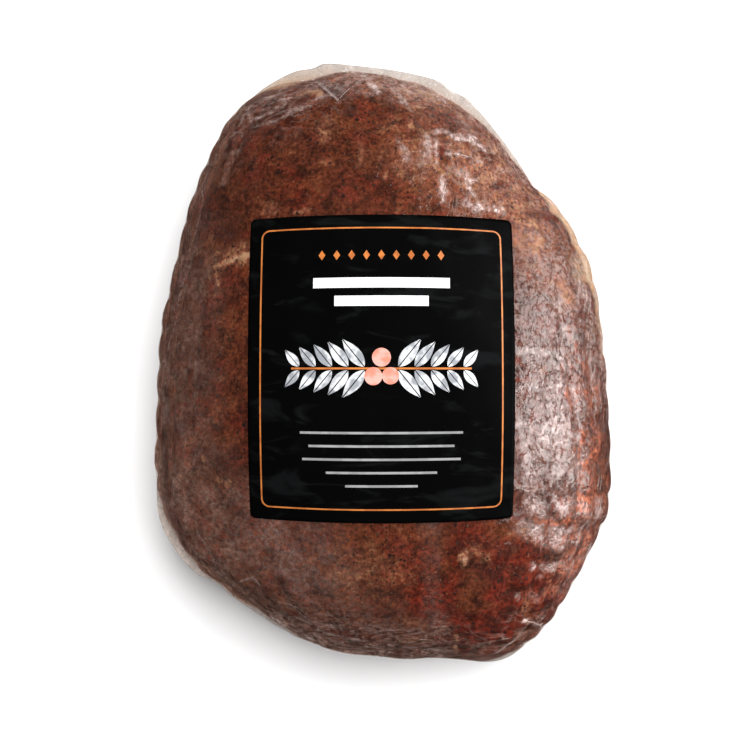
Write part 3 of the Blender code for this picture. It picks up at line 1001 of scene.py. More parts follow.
def clear_film(name):
    """Clear film: see-through, glossy, milky where it is slack or folded, and broken by fine pits. Its milk
    also stands for painted light and painted highlights where the haze share says so.
    """
    haze_most, milky, most_shine, crumpled, uneven, warm = FILM_LOOKS[name]
    material, tree = new_material(name)
    place = object_place(tree)
    front = painted(tree, "front")
    ruffle = painted(tree, "ruffle")
    along = noise(tree, stretched(tree, place, (0.9, 0.62, 0.5)), 1.9 * MM, 3.0, 0.64, 0.8)
    across = noise(tree, stretched(tree, place, (0.36, 1.0, 1.0)), 2.2 * MM, 3.0, 0.6, 0.8)
    creased = value_mix(tree, front, along, across)
    dimpled = noise(tree, place, 6 * MM, 2.0, 0.5, 1.0)
    crinkled = noise(tree, stretched(tree, place, (0.9, 0.9, 0.5)), 2.1 * MM, 2.0, 0.6, 0.6)

    swept = noise(tree, stretched(tree, place, (0.45, 1.0, 0.8)), 8 * MM, 2.0, 0.6, 1.6)
    drawn = noise(tree, stretched(tree, place, (1.0, 0.35, 0.8)), 8 * MM, 2.0, 0.6, 0.9)
    slack = value_mix(tree, front, drawn, swept)
    off_fold = sums(tree, "ABSOLUTE", sums(tree, "SUBTRACT", slack, 0.5))
    folds = times(tree, between(tree, off_fold, 0.045, 0.004), painted(tree, "crumple"))

    height = plus(tree, times(tree, creased, 0.4), dimpled)
    height = plus(tree, height, times(tree, folds, 0.5))
    strength = plus(tree, times(tree, ruffle, 0.88), 0.12)
    bump = node(tree, "ShaderNodeBump", Strength=strength, Distance=1.4 * MM, Height=height)
    normal = bump.outputs["Normal"]

    gloss = node(tree, "ShaderNodeBsdfGlossy", Color=GLOSS_COLOUR, Roughness=0.14, Normal=normal)
    clear = node(tree, "ShaderNodeBsdfTransparent", Color=CLEAR_COLOUR)
    # Lighter milk where the dim share is low: painted light on the free edge's shaded lower left
    tint = blend(tree, painted(tree, "dim"), milky, DIM_MILK)
    tint = blend(tree, painted(tree, "tan"), tint, warm)
    milk = node(tree, "ShaderNodeBsdfDiffuse", Color=tint)
    rough = between(tree, ruffle, 0.0, 0.5, 0.6 * uneven, uneven)
    least, most = sums(tree, "SUBTRACT", 1.0, rough), plus(tree, 1.0, rough)
    # The haze share holds the film's own milk and also painted light and painted highlights
    haze = times(tree, painted(tree, "haze"), haze_most)
    haze = times(tree, haze, between(tree, creased, 0.36, 0.64, most, least))
    haze = times(tree, haze, between(tree, crinkled, 0.40, 0.58, least, most))
    haze = sums(tree, "ADD", haze, times(tree, folds, crumpled), clamp=True)
    body = mixed(tree, haze, clear, milk)

    shine = node(tree, "ShaderNodeFresnel", IOR=1.45, Normal=normal).outputs[0]
    shine = sums(tree, "MINIMUM", times(tree, shine, 2.0), most_shine)
    shine = times(tree, shine, sums(tree, "SUBTRACT", 1.0, painted(tree, "dull")))
    pits = between(tree, creased, 0.55, 0.60, 1.0, 0.16)
    shader = mixed(tree, times(tree, shine, pits), body, gloss)
    finish_with(tree, shader.outputs[0])
    return material


def ground_spice():
    material, tree = new_material("ground_spice")
    tone = noise(tree, object_place(tree), 4 * MM, 1.0)
    colour = blend(tree, between(tree, tone, 0.45, 0.65), *SPICE_COLOURS)
    shader = node(tree, "ShaderNodeBsdfPrincipled", Base_Color=colour, Roughness=0.7)
    finish_with(tree, shader.outputs[0])
    return material


def label_black():
    material, tree = new_material("label_black")
    place = object_place(tree)
    crease = noise(tree, stretched(tree, place, (0.3, 1.0, 1.0)), 10 * MM, 3.0, 0.6, 0.8)
    # Lighter black along the creases: a painted sheen
    tone = blend(tree, between(tree, crease, 0.52, 0.72), *LABEL_BLACK_AND_SHEEN)
    bump = node(tree, "ShaderNodeBump", Strength=0.4, Distance=0.5 * MM, Height=crease)
    shader = node(
        tree,
        "ShaderNodeBsdfPrincipled",
        Base_Color=tone,
        Roughness=0.42,
        Normal=bump.outputs["Normal"],
        Specular_IOR_Level=0.025,
    )
    finish_with(tree, shader.outputs[0])
    return material


def print_ink(name, colour, second):
    material, tree = new_material(name)
    tone = noise(tree, object_place(tree), 6 * MM, 2.0)
    ink = blend(tree, between(tree, tone, 0.4, 0.6), colour, second)
    shader = node(tree, "ShaderNodeBsdfPrincipled", Base_Color=ink, Roughness=0.38)
    finish_with(tree, shader.outputs[0])
    return material


# ---------------------------------------------------------------------------------------------
# The ham
# ---------------------------------------------------------------------------------------------


class Skin:
    """The ham's surface as distances from its middle along rays, on a grid with a pole at each end."""

    def __init__(self, ham_node):
        self.tree = merged_tree(ham_node)
        self.middle = np.array((0.0, 0.0, WIDEST))
        above = np.linspace(0, pi, COLUMNS_ABOVE, endpoint=False)
        below = np.linspace(pi, 2 * pi, COLUMNS_BELOW, endpoint=False)
        self.columns = np.concatenate([above, below])
        self.rings = pi * np.arange(1, ROWS) / ROWS
        ring, column = np.meshgrid(self.rings, self.columns, indexing="ij")
        ball = np.stack([np.sin(ring) * np.cos(column), np.cos(ring), np.sin(ring) * np.sin(column)], axis=-1)
        rays = ball * EVEN_REACH
        self.rays = rays / np.linalg.norm(rays, axis=-1, keepdims=True)
        self.base = smoothed(self.measured(), BASE_PASSES)
        self.slant = self.ray_to_normal(self.base)

    def measured(self):
        """The distance to the solid along each ray, passing over the bag's free edge."""
        middle = Vector(self.middle)
        flat = self.rays.reshape(-1, 3)
        found = [self.tree.ray_cast(middle, Vector(ray))[3] for ray in flat]
        reach = np.array(found, float).reshape(self.rays.shape[:2])
        height = self.rays[..., 2] * reach
        on_edge = np.abs(height) < EDGE_BAND
        for row in range(END_ROWS, len(reach) - END_ROWS):
            good = ~on_edge[row]
            reach[row] = np.interp(self.columns, self.columns[good], reach[row][good], period=2 * pi)
        reach[:END_ROWS] = reach[END_ROWS].mean()
        reach[-END_ROWS:] = reach[-END_ROWS - 1].mean()
        return reach

    def points(self, reach, floor=0.0):
        place = self.middle + self.rays * reach[..., None]
        place[..., 2] = np.maximum(place[..., 2], floor)
        return place

    def poles(self, reach, floor=0.0):
        ends = []
        for side, row in ((1.0, 0), (-1.0, -1)):
            ring = self.points(reach, floor)[row].mean(axis=0)
            ends.append((ring[0], ring[1] + side * POLE_OUT, ring[2]))
        return ends

    def ray_to_normal(self, reach):
        """The cosine between each ray and the surface's normal."""
        place = self.points(reach)
        around = np.roll(place, -1, axis=1) - np.roll(place, 1, axis=1)
        along = np.gradient(place, axis=0)
        normal = np.cross(around, along)
        normal /= np.linalg.norm(normal, axis=-1, keepdims=True) + 1e-12
        return np.clip(np.abs((normal * self.rays).sum(axis=-1)), LEAST_SLANT, 1.0)

    def mesh(self, name, reach, floor=0.0):
        return closed_grid(name, self.points(reach, floor), *self.poles(reach, floor))


def net_coordinates(place):
    """Which cord and which row of the net each point is at, as numbers that are whole on the cords."""
    above = np.clip((place[..., 2] - WIDEST) / (TOP_HEIGHT - WIDEST), 0, 1) ** UPPER_SPREAD
    below = np.clip((WIDEST - place[..., 2]) / (WIDEST + SUNK_BELOW), 0, 1) ** LOWER_SPREAD
    up = np.where(place[..., 2] > WIDEST, above, -below)
    flat = np.sqrt(1 - up**2)
    across = np.cos(np.arctan2(place[..., 1], place[..., 0])) * flat
    along = place[..., 1] / HALF_LENGTH
    cord = np.arctan2(up, across) / (2 * pi) * NET_CORDS + 0.5
    row = np.arccos(np.clip(along, -1, 1)) / pi * NET_ROWS + NET_START
    row = row + NET_LEAN * place[..., 0] / EVEN_REACH[0]
    cord = cord + NET_WANDER * soft_noise(place, 24 * MM, SEED)
    row = row + NET_WANDER * soft_noise(place, 24 * MM, SEED + 1)
    girth = np.sqrt(1 - np.clip(along, -1, 1) ** 2)
    return cord, row, girth


def relief_fields(skin):
    """The meat's relief, and the fields of the net and the sides that its finishes follow."""
    place = skin.points(skin.base)
    x, y, z = (place[..., i] for i in range(3))
    cord, row, girth = net_coordinates(place)
    off_cord = np.abs(cord - np.round(cord)) * CELL_ACROSS * girth
    off_row = np.abs(row - np.round(row)) * CELL_ACROSS
    cord_groove = np.exp(-((off_cord / GROOVE_HALF_WIDTH) ** 2)) * ease(*CORDS_BEGIN, girth)
    row_groove = np.exp(-((off_row / GROOVE_HALF_WIDTH) ** 2)) * ease(*ROWS_BEGIN, girth)
    pressed = 0.35 + 0.65 * ease(-0.6, 0.5, soft_noise(place, 19 * MM, SEED + 20))
    groove = np.maximum(cord_groove, row_groove * 0.9) * pressed
    cells = np.stack([np.floor(cord), np.floor(row), np.zeros_like(cord)], axis=-1)
    swell = (np.abs(np.sin(pi * cord)) * np.abs(np.sin(pi * row))) ** SWELL_ROUNDNESS
    swell = swell * (0.7 + 0.5 * lattice(cells, SEED))

    right = ease(*RIGHT_SIDE, x)
    calm = ease(*BEHIND_FRONT, y)
    left_share = LEFT_PRINT[0] + LEFT_PRINT[1] * calm + LEFT_PRINT[2] * ease(*LOW_LEFT, z)
    sides = (
        right * (1 - CALMED_PRINT * calm),
        ease(*LEFT_SIDE, x) * left_share,
        ease(*LOWER_HALF, z) * UNDER_PRINT,
        ease(*FRONT_END, y) * FRONT_PRINT,
    )
    strength = LEAST_PRINT + (1 - LEAST_PRINT) * np.maximum.reduce(sides)
    off_floor = ease(*OFF_FLOOR, z)
    relief = CELL_SWELL * (swell - SWELL_MIDDLE) - GROOVE_DEPTH * groove
    relief = strength * relief * ease(*RELIEF_BEGINS, girth)
    held = bells(heading_of(place), HELD_IN)
    relief = relief * off_floor - held * ease(*HELD_HEIGHTS, np.abs(z - WIDEST))
    lumps = sum(
        height * soft_noise(place * squeeze, size, SEED + number) for height, size, number, squeeze in LUMPS
    )

    cell = np.clip(swell - 0.35, 0, 1) * ease(0.45, 0.8, lattice(cells, SEED + 21))
    low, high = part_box("label")
    across = np.abs(x - (low.x + high.x) / 2) - (high.x - low.x) / 2
    along = np.abs(y - (low.y + high.y) / 2) - (high.y - low.y) / 2
    covered = ease(0.0, -4 * MM, np.maximum(across, along)) * (z > WIDEST)
    fields = {"groove": groove * strength, "right": right, "cell": cell, "covered": covered}
    return relief + lumps * off_floor, fields, place


def finish_shares(skin, place, fields):
    """How much of each finish the meat has at each point."""
    x, y, z = (place[..., i] for i in range(3))
    wander = soft_noise(place, 14 * MM, SEED + 5)
    fine_wander = soft_noise(place, 5 * MM, SEED + 6)
    red = patches(place, RED_PLACES)
    red = red * ease(-0.5, 0.4, wander + 0.5 * fine_wander) + 0.4 * ease(0.25, 0.7, wander)

    reach = ease(*WET_LENGTH[0], y) * ease(*WET_LENGTH[1], y)
    drawn = soft_noise(place * (1, 0.3, 1), 4 * MM, SEED + 7)
    shaded = ease(*SHADED_MEAT_HEIGHTS, z) * bells(heading_of(place), SHADED_MEAT)
    flank = ease(*WET_FLANK, x) * reach
    wet = 0.45 * flank * ease(0.0, 0.7, 0.6 * wander + drawn)
    wet = wet + 0.45 * fields["groove"] * ease(*WET_GROOVES, x) * reach
    wet = wet + 0.8 * patch(place, *WET_CORNER) * ease(-0.4, 0.5, fine_wander + drawn)
    # The sides turned from the light take the wet colour too: painted fill light, not wet meat
    wet = wet + 0.35 * patch(place, *WET_TOP) + 0.30 * shaded

    tan = patches(place, TAN_PLACES)
    tan = tan * ease(-0.7, 0.0, fine_wander) + 0.35 * fields["groove"] * (1 - fields["right"])

    level = z + 11 * MM * wander + 5 * MM * fine_wander
    rim = np.exp(-(((level - FAT_HEIGHT) / FAT_REACH) ** 2))
    away = ease(3 * MM, 24 * MM, np.abs(z - FAT_HEIGHT))
    wavy = place + (FAT_WANDER * away * soft_noise(place, 14 * MM, SEED + 14))[..., None]
    fat = rim * patches(wavy, FAT_PLACES)
    fat = ease(0.18, 0.66, fat + (0.22 * wander + 0.16 * fine_wander) * ease(0.0, 0.3, fat))
    fat = fat * (0.86 + 0.14 * ease(-0.3, 0.3, soft_noise(place, 2.6 * MM, SEED + 15)))

    spice = sum(patch(place, middle, SPICE_HALF) for middle in SPICE_PLACES)
    spice = np.clip(spice + 0.6 * fields["cell"] * (1 - fields["right"]), 0, 1)
    spice = spice * ease(-0.6, 0.3, fine_wander)
    shares = {"red": red, "wet": wet, "tan": 0.6 * tan, "fat": fat, "spice": spice}
    for name, marks in MEAT_MARKS.items():
        shares[name] = np.maximum(shares.get(name, 0.0), marked(skin.tree, place, marks))
    return {name: np.clip(values, 0, 1) for name, values in shares.items()}


def make_meat(skin):
    relief, fields, place = relief_fields(skin)
    reach = skin.base + relief / skin.slant
    mesh = skin.mesh("smoked_ham", reach - FILM_GAP, MEAT_FLOOR)
    shares = finish_shares(skin, place, fields)
    for name, values in shares.items():
        add_values(mesh, name, with_poles(values))
    seen = ease(*GRAIN_HEIGHTS, place[..., 2]) * (1 - fields["covered"])
    seen = seen * (1 - shares["fat"]) * (1 - 0.9 * ease(0.5, 0.8, shares["tan"]))
    add_values(mesh, "grains", with_poles(seen * (0.45 + 0.55 * shares["spice"])))
    meat = new_object("smoked_ham", mesh)
    mesh.materials.append(smoked_meat())
    return meat, reach, place


def make_film(skin, reach, place):
    """The shrunk film: it touches the meat's high places and bridges its grooves."""
    x, y, z = (place[..., i] for i in range(3))
    heading = heading_of(place)
    outside = np.maximum(reach, smoothed(reach, BRIDGE_PASSES) + BRIDGE_GAP)
    creases = np.abs(soft_noise(place * (1, 0.45, 1), CREASE_SIZE, SEED + 8))
    slack = np.clip(patches(place, SLACK_PLACES) + SLACK_LEAST, 0, 1)
    outside = outside + slack * SLACK_HEIGHT * MM * (1 - creases) ** 4
    mesh = skin.mesh("bag_film", outside, 0.0)

    # Milk on the rims, stronger at the lower left: partly painted light on the shaded sides
    rim = sum(share * ease(*above, z) * ease(*below, z) for share, above, below in RIM_HAZE_AND_PAINTED_LIGHT)
    rim = rim * (1 - 0.8 * bell(heading, -20, 50)) * (1 + 1.2 * bell(heading, -120, 45))
    # Milky places: partly the film's own milk, partly a painted reflection on the right and painted light on
    # the left and low sides
    haze = np.maximum(patches(place, HAZE_AND_PAINTED_LIGHT_PLACES) + rim, 0)
    haze = haze * (0.7 + 0.5 * soft_noise(place, 7 * MM, SEED + 12))
    # Drawn milky streaks, many of them painted highlights
    streaks_and_painted_highlights = marked(skin.tree, place, MILKY_AND_HIGHLIGHT_MARKS)
    haze = np.maximum(haze, streaks_and_painted_highlights) + 0.1 * haze
    bare = marked(skin.tree, place, CLEAR_MARKS)

    warm = 0.38 - 0.33 * patch(place, (84, -10), (26, 62)) + 0.4 * ease(-40 * MM, -85 * MM, x)
    warm = (warm + 0.3 * ease(-80 * MM, -120 * MM, y)) * (1 - np.clip(2 * streaks_and_painted_highlights, 0, 1))
    # The sides turned from the light lose shine: a painted shade on the film's reflection
    shaded = ease(*SHADED_FILM_HEIGHTS, z) * bells(heading, SHADED_FILM)
    dull = patches(place, DULL_PLACES)
    crumple = patches(place, CRUMPLE_PLACES) * ease(-0.7, 0.3, soft_noise(place, 9 * MM, SEED + 13))
    crosswise = ease(-88 * MM, -122 * MM, y) + patch(place, *CROSSWISE_PLACE)
    calm = 0.35 + 0.65 * ease(-42 * MM, 0 * MM, y)
    ruffle = ease(40 * MM, 66 * MM, x) * calm + patches(place, RUFFLED_PLACES)
    ruffle = ruffle + 0.4 * ease(-100 * MM, -135 * MM, y)
    for name, values in (
        ("haze", haze * (1 - 0.9 * bare)),
        ("dull", 0.85 * bare + dull + 0.75 * shaded),
        ("tan", warm),
        ("crumple", crumple),
        ("front", crosswise),
        ("ruffle", ruffle * (1 - 0.7 * np.clip(3 * streaks_and_painted_highlights, 0, 1)) + 0.05),
    ):
        add_values(mesh, name, with_poles(np.clip(values, 0, 1)))
    film = new_object("bag_film", mesh)
    mesh.materials.append(clear_film("clear_film"))
    return film


def film_reach_at(tree, angle):
    """How far a surface is from the ham's middle at its widest height, at an angle of the plan."""
    direction = Vector((np.cos(angle), np.sin(angle), 0.0))
    return tree.ray_cast(Vector((0.0, 0.0, WIDEST)), direction)[3]


def make_free_edge(skin, film):
    """The bag's free edge: two films lying together, ruffled, all the way round the widest height."""
    angles = np.linspace(0, 2 * pi, EDGE_TURNS, endpoint=False)
    film_tree = tree_of(film)
    tight = np.array([film_reach_at(film_tree, a) for a in angles])
    inner = tight - EDGE_INSET
    outer = np.array([film_reach_at(skin.tree, a) for a in angles])
    around = sum(np.roll(tight, step) for step in range(-EDGE_SPAN, EDGE_SPAN + 1)) / (2 * EDGE_SPAN + 1)
    loose = ease(*EDGE_LOOSE, outer - around)
    outer = tight + EDGE_TIGHT + loose * (outer - tight - EDGE_TIGHT)
    rim = np.stack([np.cos(angles), np.sin(angles), np.zeros(EDGE_TURNS)], axis=-1)
    waver = soft_noise(rim * 0.2, 9 * MM, SEED + 9) * 0.6 + soft_noise(rim * 0.2, 4 * MM, SEED + 10) * 0.4
    width = np.maximum(outer - inner, EDGE_LEAST)
    outer = inner + width - EDGE_TRIM * (1 + waver)
    rows = []
    for t in np.arange(EDGE_STEPS) / (EDGE_STEPS - 1):
        row = skin.middle + rim * (inner + (outer - inner) * t)[:, None]
        row[:, 2] += waver * (width - EDGE_INSET) * EDGE_WAVE * t**1.5
        rows.append(row)
    index, right = strips(EDGE_STEPS, EDGE_TURNS)
    quads = np.stack([index[:-1], index[1:], right[1:], right[:-1]], axis=-1).reshape(-1, 4)
    mesh = mesh_from("bag_free_edge", np.vstack(rows), quads.tolist())

    across = np.repeat(np.linspace(0, 1, EDGE_STEPS), EDGE_TURNS)
    heading = np.tile(np.degrees(angles), EDGE_STEPS)
    fatty = bells(heading, EDGE_FATTY) * (1.15 - 0.9 * across)
    fatty = fatty + 0.6 * bell(heading, 70, 34) * (1 - across) ** 1.5
    add_values(mesh, "haze", np.clip(0.82 + 0.10 * across + 0.18 * bell(heading, 112, 16), 0, 1))
    add_values(mesh, "ruffle", np.full(across.size, 0.2))
    # The edge's milk is lighter at its lower left, where it lies in shade: painted light
    add_values(mesh, "dim", 1 - bell(heading, 232, 26))
    add_values(mesh, "tan", np.clip(fatty, 0, 1))
    edge = new_object("bag_free_edge", mesh)
    wall = edge.modifiers.new("two_films", "SOLIDIFY")
    wall.thickness = FILM_WALL
    wall.offset = 0.0
    mesh.materials.append(clear_film("folded_film"))
    return edge


# ---------------------------------------------------------------------------------------------
# The label
# ---------------------------------------------------------------------------------------------


class Sheet:
    """The label's own surface, which its print lies on too."""

    def __init__(self, film):
        low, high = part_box("label")
        self.centre = np.array(((low.x + high.x) / 2, (low.y + high.y) / 2))
        self.half = np.array((high.x - low.x, high.y - low.y)) / 2 * LABEL_SPREAD
        tree = tree_of(film)
        self.across = np.arange(-self.half[0] - 2 * MM, self.half[0] + 3 * MM, LABEL_CELL)
        self.along = np.arange(-self.half[1] - 2 * MM, self.half[1] + 3 * MM, LABEL_CELL)
        heights = np.zeros((len(self.along), len(self.across)))
        for j, y in enumerate(self.along):
            for i, x in enumerate(self.across):
                start = Vector((self.centre[0] + x, self.centre[1] + y, 1.0))
                heights[j, i] = tree.ray_cast(start, Vector((0, 0, -1)))[0].z
        top = heights
        for _ in range(LABEL_PASSES):
            top = np.maximum(self.neighbours_mean(top), heights)
        self.heights = self.neighbours_mean(top) + LABEL_LIFT

    def neighbours_mean(self, values):
        """The mean of each value, counted twice, and its four neighbours."""
        wide = np.pad(values, 1, mode="edge")
        total = wide[1:-1, 1:-1] * 2 + wide[:-2, 1:-1] + wide[2:, 1:-1]
        return (total + wide[1:-1, :-2] + wide[1:-1, 2:]) / 6

    def height(self, x, y):
        """The sheet's height at places measured from its centre."""
        i = np.clip((x - self.across[0]) / LABEL_CELL, 0, len(self.across) - 1.001)
        j = np.clip((y - self.along[0]) / LABEL_CELL, 0, len(self.along) - 1.001)
        i0, j0 = np.floor(i).astype(int), np.floor(j).astype(int)
        fi, fj = i - i0, j - j0
        h = self.heights
        low = h[j0, i0] * (1 - fi) + h[j0, i0 + 1] * fi
        high = h[j0 + 1, i0] * (1 - fi) + h[j0 + 1, i0 + 1] * fi
        return low * (1 - fj) + high * fj

    def drape(self, mesh, lift):
        """Puts a flat mesh, drawn round the origin, on the sheet."""
        points = np.array([v.co for v in mesh.vertices])
        across, along = points[:, 0] / self.half[0], points[:, 1] / self.half[1]
        x = points[:, 0] * (1 - LABEL_BOW[0] * along**2)
        y = points[:, 1] * (1 - LABEL_BOW[1] * across**2)
        placed = np.stack([x + self.centre[0], y + self.centre[1], self.height(x, y) + lift], axis=-1)
        mesh.vertices.foreach_set("co", placed.astype(np.float32).ravel())
        mesh.update()


def rounded_sheet(name, half, corner, cell):
    """A flat sheet of square cells with round corners, round the origin."""
    columns = int(round(2 * half[0] / cell))
    rows = int(round(2 * half[1] / cell))
    places = (np.linspace(-reach, reach, count + 1) for reach, count in zip(half, (columns, rows)))
    x, y = np.meshgrid(*places)
    centre_x = np.clip(x, -half[0] + corner, half[0] - corner)
    centre_y = np.clip(y, -half[1] + corner, half[1] - corner)
    off_x, off_y = x - centre_x, y - centre_y
    in_corner = (np.abs(off_x) > 0) & (np.abs(off_y) > 0)
    square = np.maximum(np.abs(off_x), np.abs(off_y))
    round_off = np.hypot(off_x, off_y) + 1e-12
    shrink = np.where(in_corner, square / round_off, 1.0)
    x, y = centre_x + off_x * shrink, centre_y + off_y * shrink
    index = np.arange(x.size).reshape(x.shape)
    quads = np.stack([index[:-1, :-1], index[:-1, 1:], index[1:, 1:], index[1:, :-1]], axis=-1)
    points = np.stack([x.ravel(), y.ravel(), np.zeros(x.size)], axis=-1)
    return mesh_from(name, points, quads.reshape(-1, 4).tolist())


def make_label(sheet):
    mesh = rounded_sheet("label_sheet", sheet.half, LABEL_CORNER, LABEL_CELL)
    sheet.drape(mesh, 0.0)
    label = new_object("label_sheet", mesh)
    wall = label.modifiers.new("paper", "SOLIDIFY")
    wall.thickness = LABEL_THICKNESS
    wall.offset = -1.0
    mesh.materials.append(label_black())
    return label


# ---------------------------------------------------------------------------------------------
# The film's folds
# ---------------------------------------------------------------------------------------------


def drawn_out(points, step, passes=8):
    """A smooth line through the given points of the plan."""
    points = np.array(points, float)
    reach = np.concatenate([[0], np.cumsum(np.hypot(*np.diff(points, axis=0).T))])
    steps = max(int(reach[-1] / step), 3)
    even = np.linspace(0, reach[-1], steps)
    line = np.stack([np.interp(even, reach, points[:, i]) for i in (0, 1)], axis=-1)
    for _ in range(passes):
        line[1:-1] = (line[:-2] + 2 * line[1:-1] + line[2:]) / 4
    return line


def on_outside(tree, x, y):
    """The place and the outward direction of a surface seen from above, or its nearest place."""
    hit = tree.ray_cast(Vector((x, y, 1.0)), Vector((0, 0, -1)))
    if hit[0] is None:
        hit = tree.find_nearest(Vector((x, y, WIDEST)))
    return np.array(hit[0]), np.array(hit[1])


def ridge(tree, line, half_width, height):
    """The points and faces of a low ridge of film that follows a line of the plan."""
    found = [on_outside(tree, x, y) for x, y in line]
    middle = np.array([place for place, _ in found])
    out = np.array([direction for _, direction in found])
    side = np.cross(np.gradient(middle, axis=0), out)
    side /= np.linalg.norm(side, axis=-1, keepdims=True) + 1e-12
    taper = np.sin(pi * np.linspace(0.04, 0.96, len(line)))[:, None] ** 0.6
    rings = [middle + taper * (side * half_width * u + out * height * v) for u, v in FOLD_SECTION]
    points = np.stack(rings, axis=1)
    index, beside = strips(*points.shape[:2])
    quads = np.stack([index[:-1], beside[:-1], beside[1:], index[1:]], axis=-1).reshape(-1, 4).tolist()
    caps = [index[0][::-1].tolist(), index[-1].tolist()]
    return points.reshape(-1, 3), quads + caps


def edge_arcs(film_tree, number, heading, inset, length, draw):
    """Lines that follow the ham's edge, a little inside it."""
    lines = []
    for _ in range(number):
        start = radians(draw.uniform(*heading))
        span = draw.uniform(*length) * MM / film_reach_at(film_tree, start)
        first = 1 - draw.uniform(*inset)
        drift = draw.uniform(*RIPPLE_DRIFT)
        line = []
        for step, turn in enumerate(np.linspace(start, start + span, RIPPLE_POINTS)):
            out = film_reach_at(film_tree, turn)
            share = first + drift * step / (RIPPLE_POINTS - 1) + draw.uniform(*RIPPLE_WAVER)
            line.append((np.cos(turn) * out * share, np.sin(turn) * out * share))
        lines.append(line)
    return lines


def make_creases(film):
    """The folds and wrinkles of the bag, drawn tight over the meat."""
    tree = tree_of(film)
    draw = np.random.default_rng(SEED)
    folds = []
    for line, half, height, milk in FOLDS:
        folds.append(([seen_at(tree, place)[:2] for place in line], half, height, milk))
    for heading, inset, length, number in RIPPLES:
        for line in edge_arcs(tree, number, heading, inset, length, draw):
            folds.append((line, draw.uniform(*RIPPLE_HALF), draw.uniform(*RIPPLE_HEIGHT), RIPPLE_MILK))
    points, faces, haze = [], [], []
    for line, half, height, milk in folds:
        some, more = ridge(tree, drawn_out(line, FOLD_STEP), half * MM, height * MM)
        faces += [[len(haze) + i for i in face] for face in more]
        points.append(some)
        haze += [milk] * len(some)
    points = np.vstack(points)
    mesh = mesh_from("film_creases", points, faces)
    add_values(mesh, "haze", haze)
    add_values(mesh, "dull", 0.9 * ease(*DULL_FOLDS, points[:, 0]))
    add_values(mesh, "ruffle", np.full(len(haze), 0.6))
    creases = new_object("film_creases", mesh)
    mesh.materials.append(clear_film("creased_film"))
    return creases


def make_ear(film):
    """A corner of the bag folded over the top of the ham."""
    tree = tree_of(film)
    tip, left, right = (seen_at(tree, corner)[:2] for corner in EAR)
    points, haze, rows = [], [], []
    for i in range(EAR_STEPS + 1):
        rows.append(range(len(points), len(points) + i + 1))
        for j in range(i + 1):
            t, u = i / EAR_STEPS, (j / i if i else 0.0)
            x, y = tip * (1 - t) + (left * (1 - u) + right * u) * t
            place, out = on_outside(tree, x, y)
            points.append(place + out * (EAR_LIFT[0] + EAR_LIFT[1] * u * t) * MM)
            haze.append(EAR_MILK[0] + EAR_MILK[1] * (1 - u) ** 10)
    faces = []
    for i in range(EAR_STEPS):
        for j in range(i + 1):
            faces.append([rows[i][j], rows[i + 1][j], rows[i + 1][j + 1]])
            if j < i:
                faces.append([rows[i][j], rows[i + 1][j + 1], rows[i][j + 1]])
    mesh = mesh_from("film_ear", points, faces)
    add_values(mesh, "haze", haze)
    add_values(mesh, "ruffle", np.full(len(points), 0.15))
    ear = new_object("film_ear", mesh)
    wall = ear.modifiers.new("two_films", "SOLIDIFY")
    wall.thickness = FILM_WALL
    mesh.materials.append(clear_film("ear_film"))
    return ear


# ---------------------------------------------------------------------------------------------
# The spice
# ---------------------------------------------------------------------------------------------


def grain_nodes(material):
    """Geometry nodes that scatter flattened grains over a surface."""
    tree = bpy.data.node_groups.new("ground_spice", "GeometryNodeTree")
    face = tree.interface
    face.new_socket("Surface", in_out="INPUT", socket_type="NodeSocketGeometry")
    for name in ("Grains per area", "Smallest", "Largest"):
        face.new_socket(name, in_out="INPUT", socket_type="NodeSocketFloat")
    face.new_socket("Seed", in_out="INPUT", socket_type="NodeSocketInt")
    face.new_socket("Grains", in_out="OUTPUT", socket_type="NodeSocketGeometry")
    given = tree.nodes.new("NodeGroupInput").outputs
    result = tree.nodes.new("NodeGroupOutput")

    density = node(tree, "GeometryNodeInputNamedAttribute", {"data_type": "FLOAT"}, Name="grains")
    share = times(tree, density.outputs["Attribute"], given["Grains per area"])
    scatter = node(
        tree,
        "GeometryNodeDistributePointsOnFaces",
        {"distribute_method": "RANDOM"},
        Mesh=given["Surface"],
        Density=share,
        Seed=given["Seed"],
    )
    grain = node(tree, "GeometryNodeMeshIcoSphere", Radius=0.5, Subdivisions=1)
    size = node(
        tree,
        "FunctionNodeRandomValue",
        {"data_type": "FLOAT"},
        Min=given["Smallest"],
        Max=given["Largest"],
        Seed=given["Seed"],
    )
    slim = node(tree, "FunctionNodeRandomValue", {"data_type": "FLOAT"}, Min=0.5, Max=1.0, Seed=3)
    wide = times(tree, size.outputs[1], slim.outputs[1])
    thick = times(tree, size.outputs[1], GRAIN_THICKNESS)
    scale = node(tree, "ShaderNodeCombineXYZ", X=size.outputs[1], Y=wide, Z=thick)
    spin = node(tree, "FunctionNodeRandomValue", {"data_type": "FLOAT"}, Min=0.0, Max=2 * pi, Seed=5)
    turn = node(tree, "ShaderNodeCombineXYZ", Z=spin.outputs[1])
    placed = node(
        tree,
        "GeometryNodeInstanceOnPoints",
        Points=scatter.outputs["Points"],
        Instance=grain.outputs["Mesh"],
        Rotation=scatter.outputs["Rotation"],
        Scale=scale.outputs[0],
    )
    turned = node(
        tree,
        "GeometryNodeRotateInstances",
        Instances=placed.outputs["Instances"],
        Rotation=turn.outputs[0],
        Local_Space=True,
    )
    real = node(tree, "GeometryNodeRealizeInstances", Geometry=turned.outputs["Instances"])
    done = node(tree, "GeometryNodeSetMaterial", Geometry=real.outputs["Geometry"], Material=material)
    tree.links.new(done.outputs["Geometry"], result.inputs["Grains"])
    return tree


